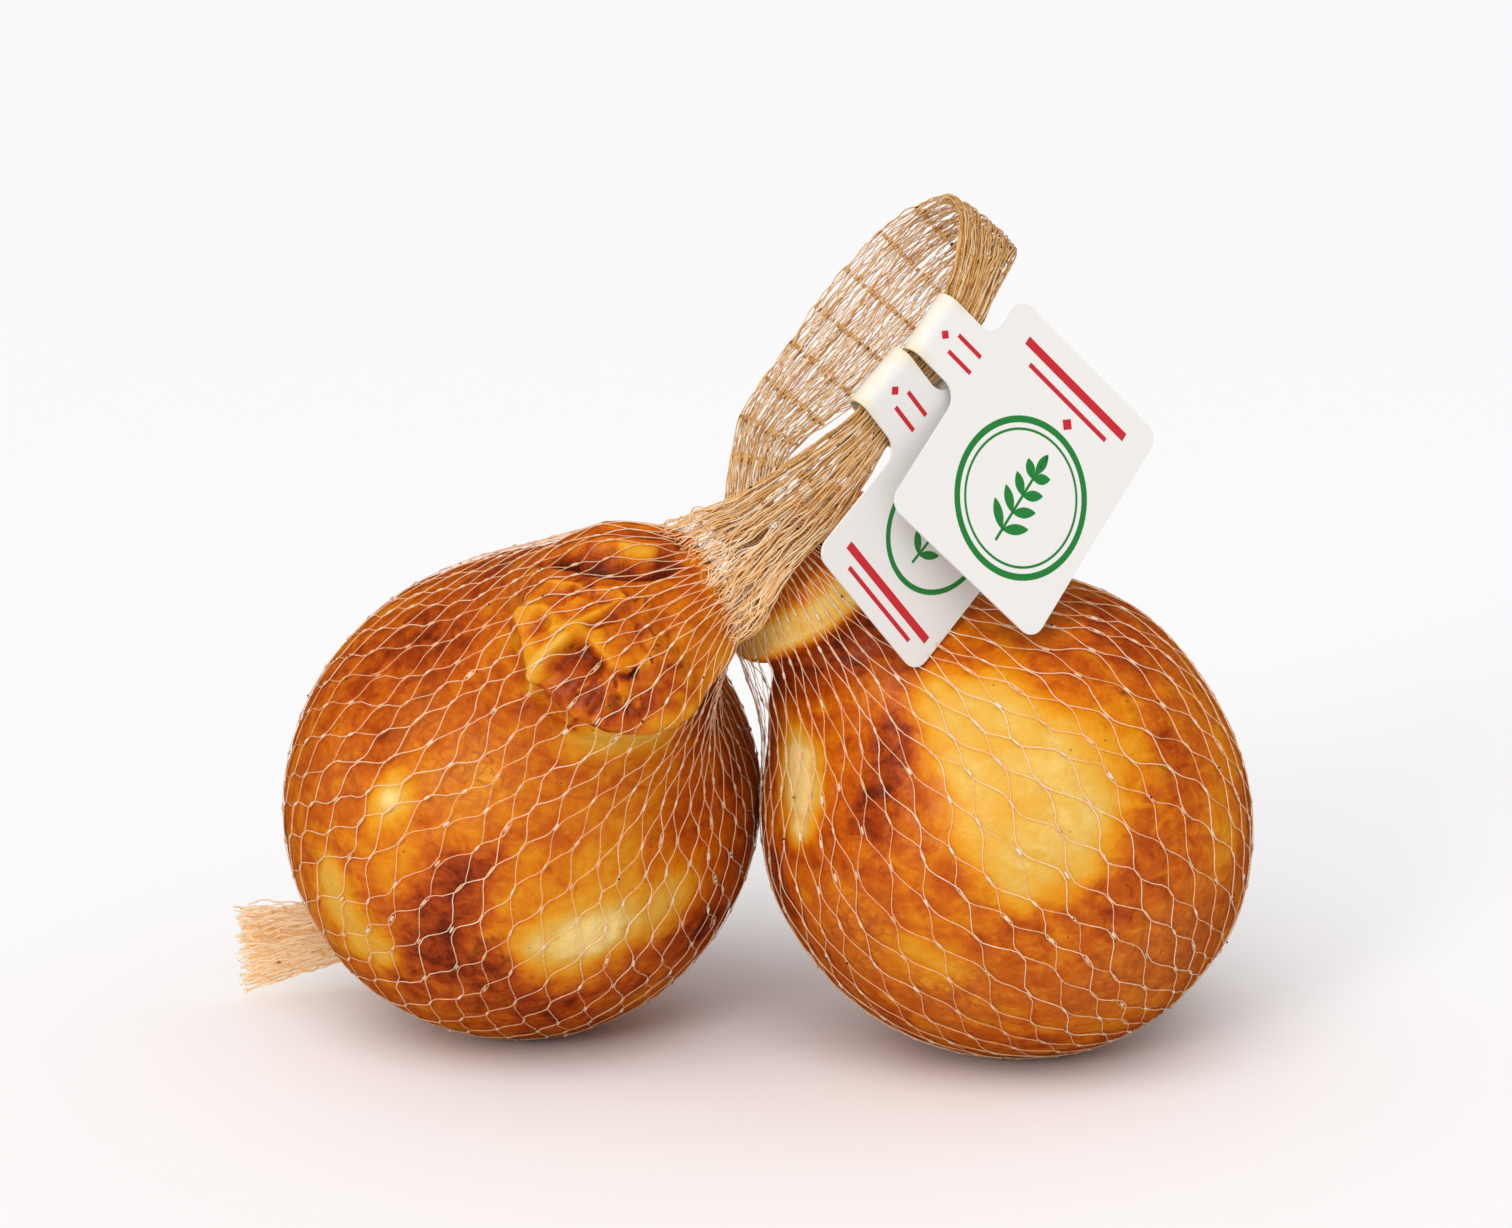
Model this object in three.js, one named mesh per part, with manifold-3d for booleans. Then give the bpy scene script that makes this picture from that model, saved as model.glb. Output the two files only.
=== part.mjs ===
// A pair of smoked caciocavallo cheeses carried in one net sleeve.
//
// Each cheese is a pear-shaped ball of stretched curd with a folded knob on a short neck. The sleeve
// ends in a cut tail behind each cheese. Between the two knobs it gathers and rises as a flat carrying
// loop, with two card tags on its front leg. Millimetres, +Z up. The origin is on the floor under the
// middle of the pair, and the knobs look to -Y.

import * as THREE from "three";
import { mergeVertices } from "three/addons/utils/BufferGeometryUtils.js";
import Module from "manifold-3d";

const wasm = await Module();
wasm.setup();

const vector = (x, y, z) => new THREE.Vector3(x, y, z);

// Driving dimensions

const GAP = 0.4; // left between pieces that touch
const FLOOR_DEPTH = 30; // of the block that cuts each cheese's flat resting spot

const CHEESE_SEGMENTS = 44; // round the axis
const BASE_RINGS = 14;
const SHOULDER_RINGS = 15;
const KNOB_RINGS = 15;
const SHOULDER_POWER = 1.4; // a higher power keeps the shoulder full for longer before the neck
const BULGE_TIGHTNESS = 1.5; // a bulge ends a quarter turn over this away from its middle
const LOBE_START = 12; // a lobe dies away this close to the axis, at the knob's tip

// centre is the middle of the round body and axis points from the base to the knob. base, knobAt and
// knobHalf lie along the axis. droop is how far the knob hangs below the axis, which makes the lip under
// it. bulges are slow swells of the hand-shaped body. lobes are swells of the neck and knob at a place
// along the axis and at degrees around it, from right towards up as a viewer of the knob sees it. folds are
// creases and ridges of the knob, drawn on a disc of radius 1 that faces that viewer.
const LEFT_CHEESE = {
  centre: vector(-52.3, 10.6, 58.1),
  axis: vector(0.31, -0.69, 0.655).normalize(),
  radius: 59.2,
  base: 58.5,
  neck: 23.5,
  knobAt: 80,
  knobRadius: 24.5,
  knobHalf: 20,
  droop: 3.5,
  bulges: [
    { towards: vector(-0.75, 0.1, 0.65), height: -0.7 },
    { towards: vector(-0.3, -0.9, -0.2), height: 1.0 },
    { towards: vector(0.2, 0.9, 0.4), height: -1.4 },
  ],
  lobes: [
    { along: 63, around: 88, length: 24, turn: 50, height: 10.2 },
    { along: 94, around: 56, length: 21, turn: 45, height: 8.5 },
  ],
  folds: [
    { from: [-0.5, 0.82], to: [-0.17, 0.46], width: 0.1, height: -3.0 },
    { from: [-0.17, 0.46], to: [0.5, 0.45], width: 0.1, height: -3.0 },
    { from: [0.05, 0.92], to: [0.66, 0.74], width: 0.24, height: 4.2 },
    { from: [-0.88, -0.12], to: [-0.55, 0.0], width: 0.12, height: 2.0 },
    { from: [-0.5, -0.05], to: [-0.25, -0.5], width: 0.12, height: 2.0 },
    { from: [-0.66, -0.22], to: [-0.5, -0.42], width: 0.14, height: -4.0 },
    { from: [-0.7, -0.5], to: [-0.12, -0.8], width: 0.17, height: -1.6 },
    { from: [0.3, -0.1], to: [0.66, -0.5], width: 0.15, height: -1.8 },
  ],
};

const RIGHT_CHEESE = {
  centre: vector(68.4, -3.9, 59.4),
  axis: vector(-0.585, -0.144, 0.798).normalize(),
  radius: 59.4,
  base: 61,
  neck: 25,
  knobAt: 75,
  knobRadius: 25.5,
  knobHalf: 20,
  droop: 1.5,
  bulges: [
    { towards: vector(0.78, -0.1, 0.6), height: -0.9 },
    { towards: vector(0.85, -0.3, -0.45), height: 1.8 },
    { towards: vector(-0.2, 0.9, 0.3), height: -1.5 },
  ],
  lobes: [],
  folds: [
    { from: [-0.8, 0.1], to: [0.7, 0.2], width: 0.12, height: -3.0 },
    { from: [-0.4, 0.6], to: [0.5, 0.65], width: 0.22, height: 2.2 },
    { from: [-0.3, -0.4], to: [0.4, -0.3], width: 0.16, height: -2.6 },
  ],
};

// Stations along a strip of gathered net: its middle, the direction of its width, its width and its
// thickness.
const LOOP_STATIONS = [
  { at: vector(7.9, -43.8, 136.6), wide: vector(0.6, -0.07, -0.8), width: 22, thick: 7 },
  { at: vector(18.3, -45.9, 145.9), wide: vector(0.59, 0.03, -0.81), width: 19, thick: 5 },
  { at: vector(25.8, -48.6, 155.5), wide: vector(0.58, 0.2, -0.79), width: 15.5, thick: 4 },
  { at: vector(32.2, -49.4, 164.2), wide: vector(0.547, 0.407, -0.731), width: 12.5, thick: 3.4 },
  { at: vector(38.6, -44.8, 173.1), wide: vector(0.547, 0.407, -0.731), width: 11.4, thick: 3.2 },
  { at: vector(50.2, -36.3, 184.4), wide: vector(0.659, 0.297, -0.691), width: 11.4, thick: 3.2 },
  { at: vector(58.1, -26.0, 197.6), wide: vector(0.68, 0.28, -0.68), width: 14.5, thick: 3.6 },
  { at: vector(60.3, -5.7, 205.2), wide: vector(0.75, 0.25, -0.615), width: 22, thick: 4 },
  { at: vector(45.7, 6.2, 193.4), wide: vector(0.8, 0.0, -0.58), width: 24, thick: 3.4 },
  { at: vector(26.3, -0.4, 172.3), wide: vector(0.82, -0.12, -0.56), width: 23, thick: 3.2 },
  { at: vector(11.8, -13.5, 158.8), wide: vector(0.88, -0.12, -0.46), width: 16.5, thick: 3.6 },
  { at: vector(7.2, -25.3, 151.1), wide: vector(0.95, -0.1, -0.3), width: 12.5, thick: 4.4 },
  { at: vector(5.1, -34.4, 142.0), wide: vector(0.9, -0.1, -0.4), width: 11, thick: 5 },
  { at: vector(2.1, -39.3, 133.4), wide: vector(0.8, -0.1, -0.6), width: 12, thick: 6 },
];
const LOOP_STEPS = 78;

// The gather starts low between the knobs, as wide as both nets together, and ends inside the loop's
// front leg.
const GATHER_STATIONS = [
  { at: vector(-10.6, -40.4, 121.9), wide: vector(0.62, -0.21, -0.75), width: 27, thick: 13 },
  { at: vector(-3.2, -41.6, 127.7), wide: vector(0.62, -0.21, -0.75), width: 28, thick: 12 },
  { at: vector(7.9, -43.8, 136.6), wide: vector(0.6, -0.07, -0.8), width: 23, thick: 8 },
  { at: vector(18.3, -45.9, 145.9), wide: vector(0.59, 0.03, -0.81), width: 18, thick: 4.6 },
];
const GATHER_STEPS = 14;

const LEFT_TAIL_STATIONS = [
  { at: vector(-70.0, 50.0, 21.0), wide: vector(0.1, 0.2, 1), width: 9, thick: 8 },
  { at: vector(-86.0, 47.0, 17.6), wide: vector(0.1, 0.2, 1), width: 12, thick: 8.5 },
  { at: vector(-105.0, 39.5, 15.0), wide: vector(0.12, 0.1, 1), width: 17, thick: 9 },
  { at: vector(-127.0, 29.0, 13.9), wide: vector(0.2, 0.1, 1), width: 24, thick: 9.5 },
];
const RIGHT_TAIL_STATIONS = [
  { at: vector(101.0, 5.0, 13.0), wide: vector(1, 0, 0.2), width: 9, thick: 8 },
  { at: vector(106.5, 21.0, 8.5), wide: vector(1, -0.1, 0.1), width: 12, thick: 8 },
  { at: vector(106.0, 35.0, 7.5), wide: vector(1, 0, 0), width: 16, thick: 8 },
  { at: vector(103.0, 52.0, 7.0), wide: vector(1, 0.2, 0), width: 21, thick: 8.5 },
];
const TAIL_STEPS = 10;

const SECTION_SIDES = 14; // of a gathered strip
const SECTION_POWER = 0.7; // under 1 squares the oval section towards a flat strip

// A tag is a card with a band on its left edge that is folded round the strap and glued to the card's
// back. It sits at one of the loop's stations, with the card's width along the strap's width and its
// height along the strap.
const TAG_THICKNESS = 0.6;
const TAG_CORNER = 4;
const TAG_FILLET = 4.6; // where the band meets the card
const TAG_CARD_LEFT = 11.5; // from the middle of the strap to the card's left edge
const TAG_ABOVE = 18.5; // card above the middle of the band
const BAND_HALF = 6.8;
const BAND_FRONT = 2.6; // from the middle of the strap to the inside of the band
const BAND_FOLD = -4.6; // where the band turns round the strap
const BAND_GLUED = 9.2; // where its end meets the card
const BAND_STRAIGHT = 6; // how far its back stays parallel to the front
const ARC_STEPS = 6;

const TAGS = [
  { name: "tag_front", station: 5, width: 51.5, below: 43.5 },
  { name: "tag_back", station: 4, width: 43, below: 43 },
];

// Finishes

const smokedRind = new THREE.MeshStandardMaterial({ color: 0xb5651d, roughness: 0.42, metalness: 0 });
const netPlastic = new THREE.MeshStandardMaterial({ color: 0xd2a56b, roughness: 0.5, metalness: 0 });
const tagCard = new THREE.MeshStandardMaterial({ color: 0xf2efea, roughness: 0.55, metalness: 0 });

// Solids: joining and cutting closed meshes

function solidOf(geometry) {
  const bare = geometry.clone();
  bare.deleteAttribute("normal");
  bare.deleteAttribute("uv");
  const merged = mergeVertices(bare, 1e-4);
  return new wasm.Manifold(
    new wasm.Mesh({
      numProp: 3,
      vertProperties: merged.getAttribute("position").array,
      triVerts: new Uint32Array(merged.index.array),
    }),
  );
}

function geometryOf(solid) {
  const { vertProperties, triVerts } = solid.getMesh();
  const geometry = new THREE.BufferGeometry();
  geometry.setAttribute("position", new THREE.BufferAttribute(vertProperties, 3));
  geometry.setIndex(new THREE.BufferAttribute(triVerts, 1));
  geometry.computeVertexNormals();
  return geometry;
}

// The largest body of a solid, without the scraps that a cut leaves.
function largestBody(solid) {
  return solid.decompose().sort((a, b) => b.volume() - a.volume())[0];
}

function meshOf(name, solid, material) {
  const mesh = new THREE.Mesh(geometryOf(solid), material);
  mesh.name = name;
  return mesh;
}

// Cheeses

// Half of the outline in the plane of the axis: x is the distance from the axis, y runs from the base to
// the knob's top.
function cheeseOutline(cheese) {
  const { radius, base, neck, knobAt, knobRadius, knobHalf } = cheese;
  const points = [new THREE.Vector2(0, -base)];
  for (let i = 1; i < BASE_RINGS; i++) {
    const angle = (Math.PI / 2) * (i / BASE_RINGS - 1);
    points.push(new THREE.Vector2(radius * Math.cos(angle), base * Math.sin(angle)));
  }
  const knobStart = -Math.acos(neck / knobRadius);
  const neckAt = knobAt + knobHalf * Math.sin(knobStart);
  for (let i = 0; i < SHOULDER_RINGS; i++) {
    const share = i / SHOULDER_RINGS;
    const fall = (1 + Math.cos(Math.PI * share ** SHOULDER_POWER)) / 2;
    points.push(new THREE.Vector2(neck + (radius - neck) * fall, neckAt * share));
  }
  for (let i = 0; i < KNOB_RINGS; i++) {
    const angle = knobStart + (Math.PI / 2 - knobStart) * (i / KNOB_RINGS);
    points.push(new THREE.Vector2(knobRadius * Math.cos(angle), knobAt + knobHalf * Math.sin(angle)));
  }
  points.push(new THREE.Vector2(0, knobAt + knobHalf));
  return points;
}

// Right, axis and down directions of a cheese, as seen by someone who looks at its knob.
function cheeseFrame({ axis }) {
  const up = vector(0, 0, 1).addScaledVector(axis, -axis.z).normalize();
  const right = vector(0, 0, 0).crossVectors(up, axis);
  return new THREE.Matrix4().makeBasis(right, axis, up.clone().negate());
}

function distanceToStroke(x, y, { from, to }) {
  const along = [to[0] - from[0], to[1] - from[1]];
  const offset = [x - from[0], y - from[1]];
  const share = (offset[0] * along[0] + offset[1] * along[1]) / (along[0] ** 2 + along[1] ** 2);
  const nearest = THREE.MathUtils.clamp(share, 0, 1);
  return Math.hypot(offset[0] - nearest * along[0], offset[1] - nearest * along[1]);
}

// How far the folds lift or sink the knob's surface at a point of the knob's disc.
function foldHeight(x, y, folds) {
  const lift = (fold) => fold.height * Math.exp(-((distanceToStroke(x, y, fold) / fold.width) ** 2));
  return folds.reduce((sum, fold) => sum + lift(fold), 0);
}

// How far the bulges lift the body in a direction from its centre.
function bulgeHeight(direction, bulges) {
  const facing = (towards) => Math.cos(Math.min(direction.angleTo(towards) * BULGE_TIGHTNESS, Math.PI / 2));
  return bulges.reduce((sum, { towards, height }) => sum + height * facing(towards), 0);
}

// How far the lobes push a point of the turned outline away from the axis.
function lobeHeight(point, lobes) {
  const around = THREE.MathUtils.radToDeg(Math.atan2(-point.z, point.x));
  const fade = THREE.MathUtils.smoothstep(Math.hypot(point.x, point.z), 0, LOBE_START);
  const lift = (lobe) => {
    const turned = THREE.MathUtils.euclideanModulo(around - lobe.around + 180, 360) - 180;
    const falls = ((point.y - lobe.along) / lobe.length) ** 2 + (turned / lobe.turn) ** 2;
    return lobe.height * Math.exp(-falls);
  };
  return lobes.reduce((sum, lobe) => sum + fade * lift(lobe), 0);
}

// A closed cheese in its place. grown is how far its surface stands off the true one.
function cheeseSolid(cheese, grown = 0) {
  const geometry = new THREE.LatheGeometry(cheeseOutline(cheese), CHEESE_SEGMENTS);
  const frame = cheeseFrame(cheese);
  const position = geometry.getAttribute("position");
  const knobCentre = vector(0, cheese.knobAt, 0);
  const point = vector(0, 0, 0);
  for (let i = 0; i < position.count; i++) {
    point.fromBufferAttribute(position, i);
    const fromAxis = vector(point.x, 0, point.z).normalize();
    point.addScaledVector(fromAxis, lobeHeight(point, cheese.lobes));
    const onKnob = THREE.MathUtils.smoothstep(point.y, cheese.knobAt - cheese.knobHalf / 2, cheese.knobAt);
    const folds = foldHeight(point.x / cheese.knobRadius, -point.z / cheese.knobRadius, cheese.folds);
    const outwards = point.clone().applyMatrix4(frame).normalize();
    const fromCentre = point.clone().lerp(point.clone().sub(knobCentre), onKnob).normalize();
    const swell = (1 - onKnob) * bulgeHeight(outwards, cheese.bulges);
    point.addScaledVector(fromCentre, grown + onKnob * folds + swell);
    point.z += onKnob * cheese.droop;
    point.applyMatrix4(frame).add(cheese.centre);
    position.setXYZ(i, point.x, point.y, point.z);
  }
  const floor = new THREE.BoxGeometry(4 * cheese.radius, 4 * cheese.radius, FLOOR_DEPTH);
  floor.translate(cheese.centre.x, cheese.centre.y, -FLOOR_DEPTH / 2);
  return solidOf(geometry).subtract(solidOf(floor));
}

// Strips of gathered net

// A smooth curve through one value of every station.
function through(stations, value) {
  return new THREE.CatmullRomCurve3(stations.map(value), false, "catmullrom");
}

// The middle of a strip and its directions across, along and through, at a share of its length.
function stripFrame(stations, share) {
  const middle = through(stations, ({ at }) => at);
  const along = middle.getTangent(share);
  const wide = through(stations, (station) => station.wide.clone().normalize()).getPoint(share);
  wide.addScaledVector(along, -wide.dot(along)).normalize();
  return { centre: middle.getPoint(share), wide, along, thick: vector(0, 0, 0).crossVectors(wide, along) };
}

// A closed flat strip through its stations, with an oval section that follows their width and thickness.
function stripSolid(stations, steps) {
  const sizes = through(stations, ({ width, thick }) => vector(width / 2, thick / 2, 0));
  const points = [];
  const faces = [];
  for (let i = 0; i <= steps; i++) {
    const { centre, wide, thick } = stripFrame(stations, i / steps);
    const size = sizes.getPoint(i / steps);
    for (let j = 0; j < SECTION_SIDES; j++) {
      const angle = (2 * Math.PI * j) / SECTION_SIDES;
      const [c, s] = [Math.cos(angle), Math.sin(angle)];
      const across = Math.sign(c) * Math.abs(c) ** SECTION_POWER * size.x;
      const inwards = Math.sign(s) * Math.abs(s) ** SECTION_POWER * size.y;
      points.push(centre.clone().addScaledVector(wide, across).addScaledVector(thick, -inwards));
    }
  }
  const corner = (i, j) => i * SECTION_SIDES + (j % SECTION_SIDES);
  for (let i = 0; i < steps; i++) {
    for (let j = 0; j < SECTION_SIDES; j++) {
      faces.push(corner(i, j), corner(i, j + 1), corner(i + 1, j));
      faces.push(corner(i, j + 1), corner(i + 1, j + 1), corner(i + 1, j));
    }
  }
  const first = points.push(stations[0].at.clone()) - 1;
  const last = points.push(stations[stations.length - 1].at.clone()) - 1;
  for (let j = 0; j < SECTION_SIDES; j++) {
    faces.push(first, corner(0, j + 1), corner(0, j));
    faces.push(last, corner(steps, j), corner(steps, j + 1));
  }
  const geometry = new THREE.BufferGeometry().setFromPoints(points);
  geometry.setIndex(faces);
  return solidOf(geometry);
}

// Tags

function cardShape({ width, below }) {
  const left = TAG_CARD_LEFT;
  const right = left + width;
  const inner = left - TAG_FILLET;
  const shape = new THREE.Shape();
  shape.moveTo(0, -BAND_HALF);
  shape.lineTo(inner, -BAND_HALF);
  shape.absarc(inner, -BAND_HALF - TAG_FILLET, TAG_FILLET, Math.PI / 2, 0, true);
  shape.lineTo(left, -below + TAG_CORNER);
  shape.absarc(left + TAG_CORNER, -below + TAG_CORNER, TAG_CORNER, Math.PI, 1.5 * Math.PI, false);
  shape.lineTo(right - TAG_CORNER, -below);
  shape.absarc(right - TAG_CORNER, -below + TAG_CORNER, TAG_CORNER, -Math.PI / 2, 0, false);
  shape.lineTo(right, TAG_ABOVE - TAG_CORNER);
  shape.absarc(right - TAG_CORNER, TAG_ABOVE - TAG_CORNER, TAG_CORNER, 0, Math.PI / 2, false);
  shape.lineTo(left + TAG_CORNER, TAG_ABOVE);
  shape.absarc(left + TAG_CORNER, TAG_ABOVE - TAG_CORNER, TAG_CORNER, Math.PI / 2, Math.PI, false);
  shape.lineTo(left, BAND_HALF + TAG_FILLET);
  shape.absarc(inner, BAND_HALF + TAG_FILLET, TAG_FILLET, 0, -Math.PI / 2, true);
  shape.lineTo(0, BAND_HALF);
  return shape;
}

// The band's loop round the strap, seen along the strap: x runs to the card and y towards the card's face.
function bandShape() {
  const outer = BAND_FRONT + TAG_THICKNESS;
  const shape = new THREE.Shape();
  shape.moveTo(BAND_GLUED, outer);
  shape.lineTo(BAND_FOLD, outer);
  shape.absarc(BAND_FOLD, 0, outer, Math.PI / 2, 1.5 * Math.PI, false);
  shape.lineTo(BAND_STRAIGHT, -outer);
  shape.lineTo(BAND_GLUED, BAND_FRONT - TAG_THICKNESS);
  const hole = new THREE.Path();
  hole.moveTo(BAND_GLUED - 3 * TAG_THICKNESS, BAND_FRONT);
  hole.lineTo(BAND_FOLD, BAND_FRONT);
  hole.absarc(BAND_FOLD, 0, BAND_FRONT, Math.PI / 2, 1.5 * Math.PI, false);
  hole.lineTo(BAND_STRAIGHT - TAG_THICKNESS / 2, -BAND_FRONT);
  shape.holes.push(hole);
  return shape;
}

function tagSolid(tag) {
  const options = { bevelEnabled: false, curveSegments: ARC_STEPS };
  const card = new THREE.ExtrudeGeometry(cardShape(tag), { ...options, depth: TAG_THICKNESS });
  card.translate(0, 0, BAND_FRONT);
  const band = new THREE.ExtrudeGeometry(bandShape(), { ...options, depth: 2 * BAND_HALF });
  band.rotateX(Math.PI / 2);
  band.translate(0, BAND_HALF, 0);
  const share = tag.station / (LOOP_STATIONS.length - 1);
  const { centre, wide, along, thick } = stripFrame(LOOP_STATIONS, share);
  const place = new THREE.Matrix4().makeBasis(wide, along, thick).setPosition(centre);
  return solidOf(card.applyMatrix4(place)).add(solidOf(band.applyMatrix4(place)));
}

// The pair

const pair = new THREE.Group();
const grownCheeses = cheeseSolid(LEFT_CHEESE, GAP).add(cheeseSolid(RIGHT_CHEESE, GAP));
const clearOfCheeses = (solid) => largestBody(solid.subtract(grownCheeses));

pair.add(meshOf("cheese_left", cheeseSolid(LEFT_CHEESE), smokedRind));
pair.add(meshOf("cheese_right", cheeseSolid(RIGHT_CHEESE), smokedRind));

const loop = stripSolid(LOOP_STATIONS, LOOP_STEPS).add(stripSolid(GATHER_STATIONS, GATHER_STEPS));
pair.add(meshOf("net_loop", clearOfCheeses(loop), netPlastic));
pair.add(meshOf("net_tail_left", clearOfCheeses(stripSolid(LEFT_TAIL_STATIONS, TAIL_STEPS)), netPlastic));
pair.add(meshOf("net_tail_right", clearOfCheeses(stripSolid(RIGHT_TAIL_STATIONS, TAIL_STEPS)), netPlastic));

for (const tag of TAGS) {
  pair.add(meshOf(tag.name, tagSolid(tag), tagCard));
}

export default pair;
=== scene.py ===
import math

import bpy
import numpy as np
from mathutils import Matrix, noise
from mathutils.bvhtree import BVHTree
from mathutils.kdtree import KDTree


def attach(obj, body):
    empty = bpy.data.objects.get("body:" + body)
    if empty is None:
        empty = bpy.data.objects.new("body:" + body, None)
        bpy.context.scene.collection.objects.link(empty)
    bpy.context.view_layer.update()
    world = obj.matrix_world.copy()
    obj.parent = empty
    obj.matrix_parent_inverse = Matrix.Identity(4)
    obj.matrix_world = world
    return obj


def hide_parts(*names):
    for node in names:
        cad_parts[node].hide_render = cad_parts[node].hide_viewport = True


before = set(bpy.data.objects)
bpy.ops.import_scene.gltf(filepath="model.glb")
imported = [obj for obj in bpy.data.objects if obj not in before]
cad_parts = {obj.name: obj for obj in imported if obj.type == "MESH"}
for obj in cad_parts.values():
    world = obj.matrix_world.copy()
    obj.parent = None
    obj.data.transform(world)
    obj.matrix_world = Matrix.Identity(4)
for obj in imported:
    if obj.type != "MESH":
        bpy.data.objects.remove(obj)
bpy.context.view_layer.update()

# The two cheeses. Each is a ball of stretched curd, shaped by hand to a pear with a folded knob, brined
# and hung in smoke, which browns the rind and leaves it cream where it hung against something.
MM = 0.001

# The sizes of a cheese are in mm. Its bulges are a direction and a height. The lobes beside its neck are a
# place along the axis, an angle round it in degrees, how far the lobe reaches in both, and its height.
LEFT_CHEESE = {
    "name": "smoked_cheese_left",
    "node": "cheese_left",
    "centre": (-52.3, 10.6, 58.1),
    "axis": (0.31, -0.69, 0.655),
    "radius": 59.2,
    "base": 58.5,
    "neck": 23.5,
    "knob_at": 80,
    "knob_radius": 24.5,
    "knob_half": 20,
    "droop": 3.5,
    "bulges": [((-0.75, 0.1, 0.65), -0.7), ((-0.3, -0.9, -0.2), 1.0), ((0.2, 0.9, 0.4), -1.4)],
    "lobes": [(63, 88, 24, 50, 10.2), (94, 56, 21, 45, 8.5)],
}
RIGHT_CHEESE = {
    "name": "smoked_cheese_right",
    "node": "cheese_right",
    "centre": (68.4, -3.9, 59.4),
    "axis": (-0.585, -0.144, 0.798),
    "radius": 59.4,
    "base": 61,
    "neck": 25,
    "knob_at": 75,
    "knob_radius": 25.5,
    "knob_half": 20,
    "droop": 1.5,
    "bulges": [((0.78, -0.1, 0.6), -0.9), ((0.85, -0.3, -0.45), 1.8), ((-0.2, 0.9, 0.3), -1.5)],
    "lobes": [],
}

# Folds of the knobs, drawn on a disc of radius 1 that faces the viewer of the knob: the line of the fold, its
# half widths on the disc to the left and right of the line, its height in mm, and the shade of the rind along
# it, from 0, dark brown, to 1, cream. These shades follow the relief: painted shade in the slits, furrows and
# hollows, and painted light on the ridges and lips, over the rind's own browns.
LEFT_CHEESE["folds"] = [
    ([(0.05, 0.92), (0.66, 0.74)], 0.24, 0.24, 4.2, None),
    ([(0.95, -0.1), (0.85, 0.4)], 0.26, 0.26, 4.2, None),
    ([(-0.1, 0.88), (0.25, 0.77), (0.6, 0.66)], 0.05, 0.06, -1.6, 0.24),
    ([(-0.2, 0.75), (0.02, 0.64), (0.3, 0.6), (0.5, 0.62)], 0.16, 0.04, 2.4, None),
    ([(0.05, 0.64), (0.16, 0.6), (0.3, 0.57)], 0.05, 0.05, 0.4, 0.8),
    # the slit under the inner lobe: its dark band is painted shadow of the lobe
    (
        [(-0.47, 1.0), (-0.36, 0.82), (-0.24, 0.67), (0.02, 0.54), (0.3, 0.5), (0.5, 0.52)],
        0.04, 0.08, -3.8, -0.05,
    ),
    ([(-0.6, 0.62), (-0.35, 0.36), (-0.1, 0.3)], 0.05, 0.05, 0.9, 0.58),
    ([(-0.52, 0.47), (-0.22, 0.19)], 0.03, 0.03, -0.8, 0.36),
    ([(-0.86, 0.21), (-0.78, 0.19)], 0.09, 0.09, -2.0, 0.3),
    ([(-0.97, 0.3), (-0.94, 0.39), (-0.84, 0.42), (-0.73, 0.34), (-0.69, 0.17)], 0.05, 0.08, 1.5, 0.66),
    ([(-0.72, 0.06), (-0.5, 0.04), (-0.28, 0.1), (-0.06, 0.2)], 0.06, 0.04, 1.3, 0.64),
    ([(-0.44, -0.02), (-0.25, 0.01), (-0.02, 0.1)], 0.03, 0.04, -1.3, 0.28),
    ([(-0.92, -0.25), (-0.88, -0.21), (-0.8, -0.12), (-0.67, -0.06), (-0.55, -0.06)], 0.1, 0.06, 1.9, 0.82),
    ([(-0.55, -0.06), (-0.45, -0.14), (-0.4, -0.27), (-0.32, -0.4), (-0.23, -0.46)], 0.1, 0.06, 1.6, 0.63),
    ([(-0.23, -0.46), (-0.08, -0.48), (0.05, -0.42)], 0.08, 0.06, 1.0, 0.6),
    # the hollow: brown rind deepened with painted shade
    ([(-0.76, -0.26), (-0.63, -0.2), (-0.53, -0.27), (-0.46, -0.42)], 0.07, 0.12, -3.0, 0.14),
    ([(-0.72, -0.48), (-0.42, -0.7), (-0.12, -0.78)], 0.15, 0.15, -1.4, 0.24),
    ([(-0.3, -0.62), (-0.16, -0.7)], 0.05, 0.05, 0.9, 0.6),
    ([(0.02, 0.02), (0.03, -0.3)], 0.05, 0.05, -1.0, 0.34),
    ([(0.3, -0.1), (0.66, -0.5)], 0.15, 0.15, -1.8, None),
    ([(0.18, 0.34), (0.36, 0.02), (0.4, -0.2)], 0.04, 0.08, -0.9, 0.36),
]
# as on the left knob: painted shade in the slits and dents, painted light on the ridges
RIGHT_CHEESE["folds"] = [
    ([(-0.8, 0.1), (0.0, 0.05), (0.7, 0.2)], 0.05, 0.1, -3.2, 0.05),
    ([(-0.4, 0.6), (0.5, 0.65)], 0.22, 0.22, 2.2, None),
    ([(-0.3, -0.4), (0.4, -0.3)], 0.15, 0.1, -2.6, 0.12),
    ([(-0.5, 0.25), (0.45, 0.38)], 0.12, 0.06, 1.2, 0.55),
    ([(0.1, -0.1), (0.2, -0.7)], 0.06, 0.06, -1.4, 0.2),
]

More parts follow.
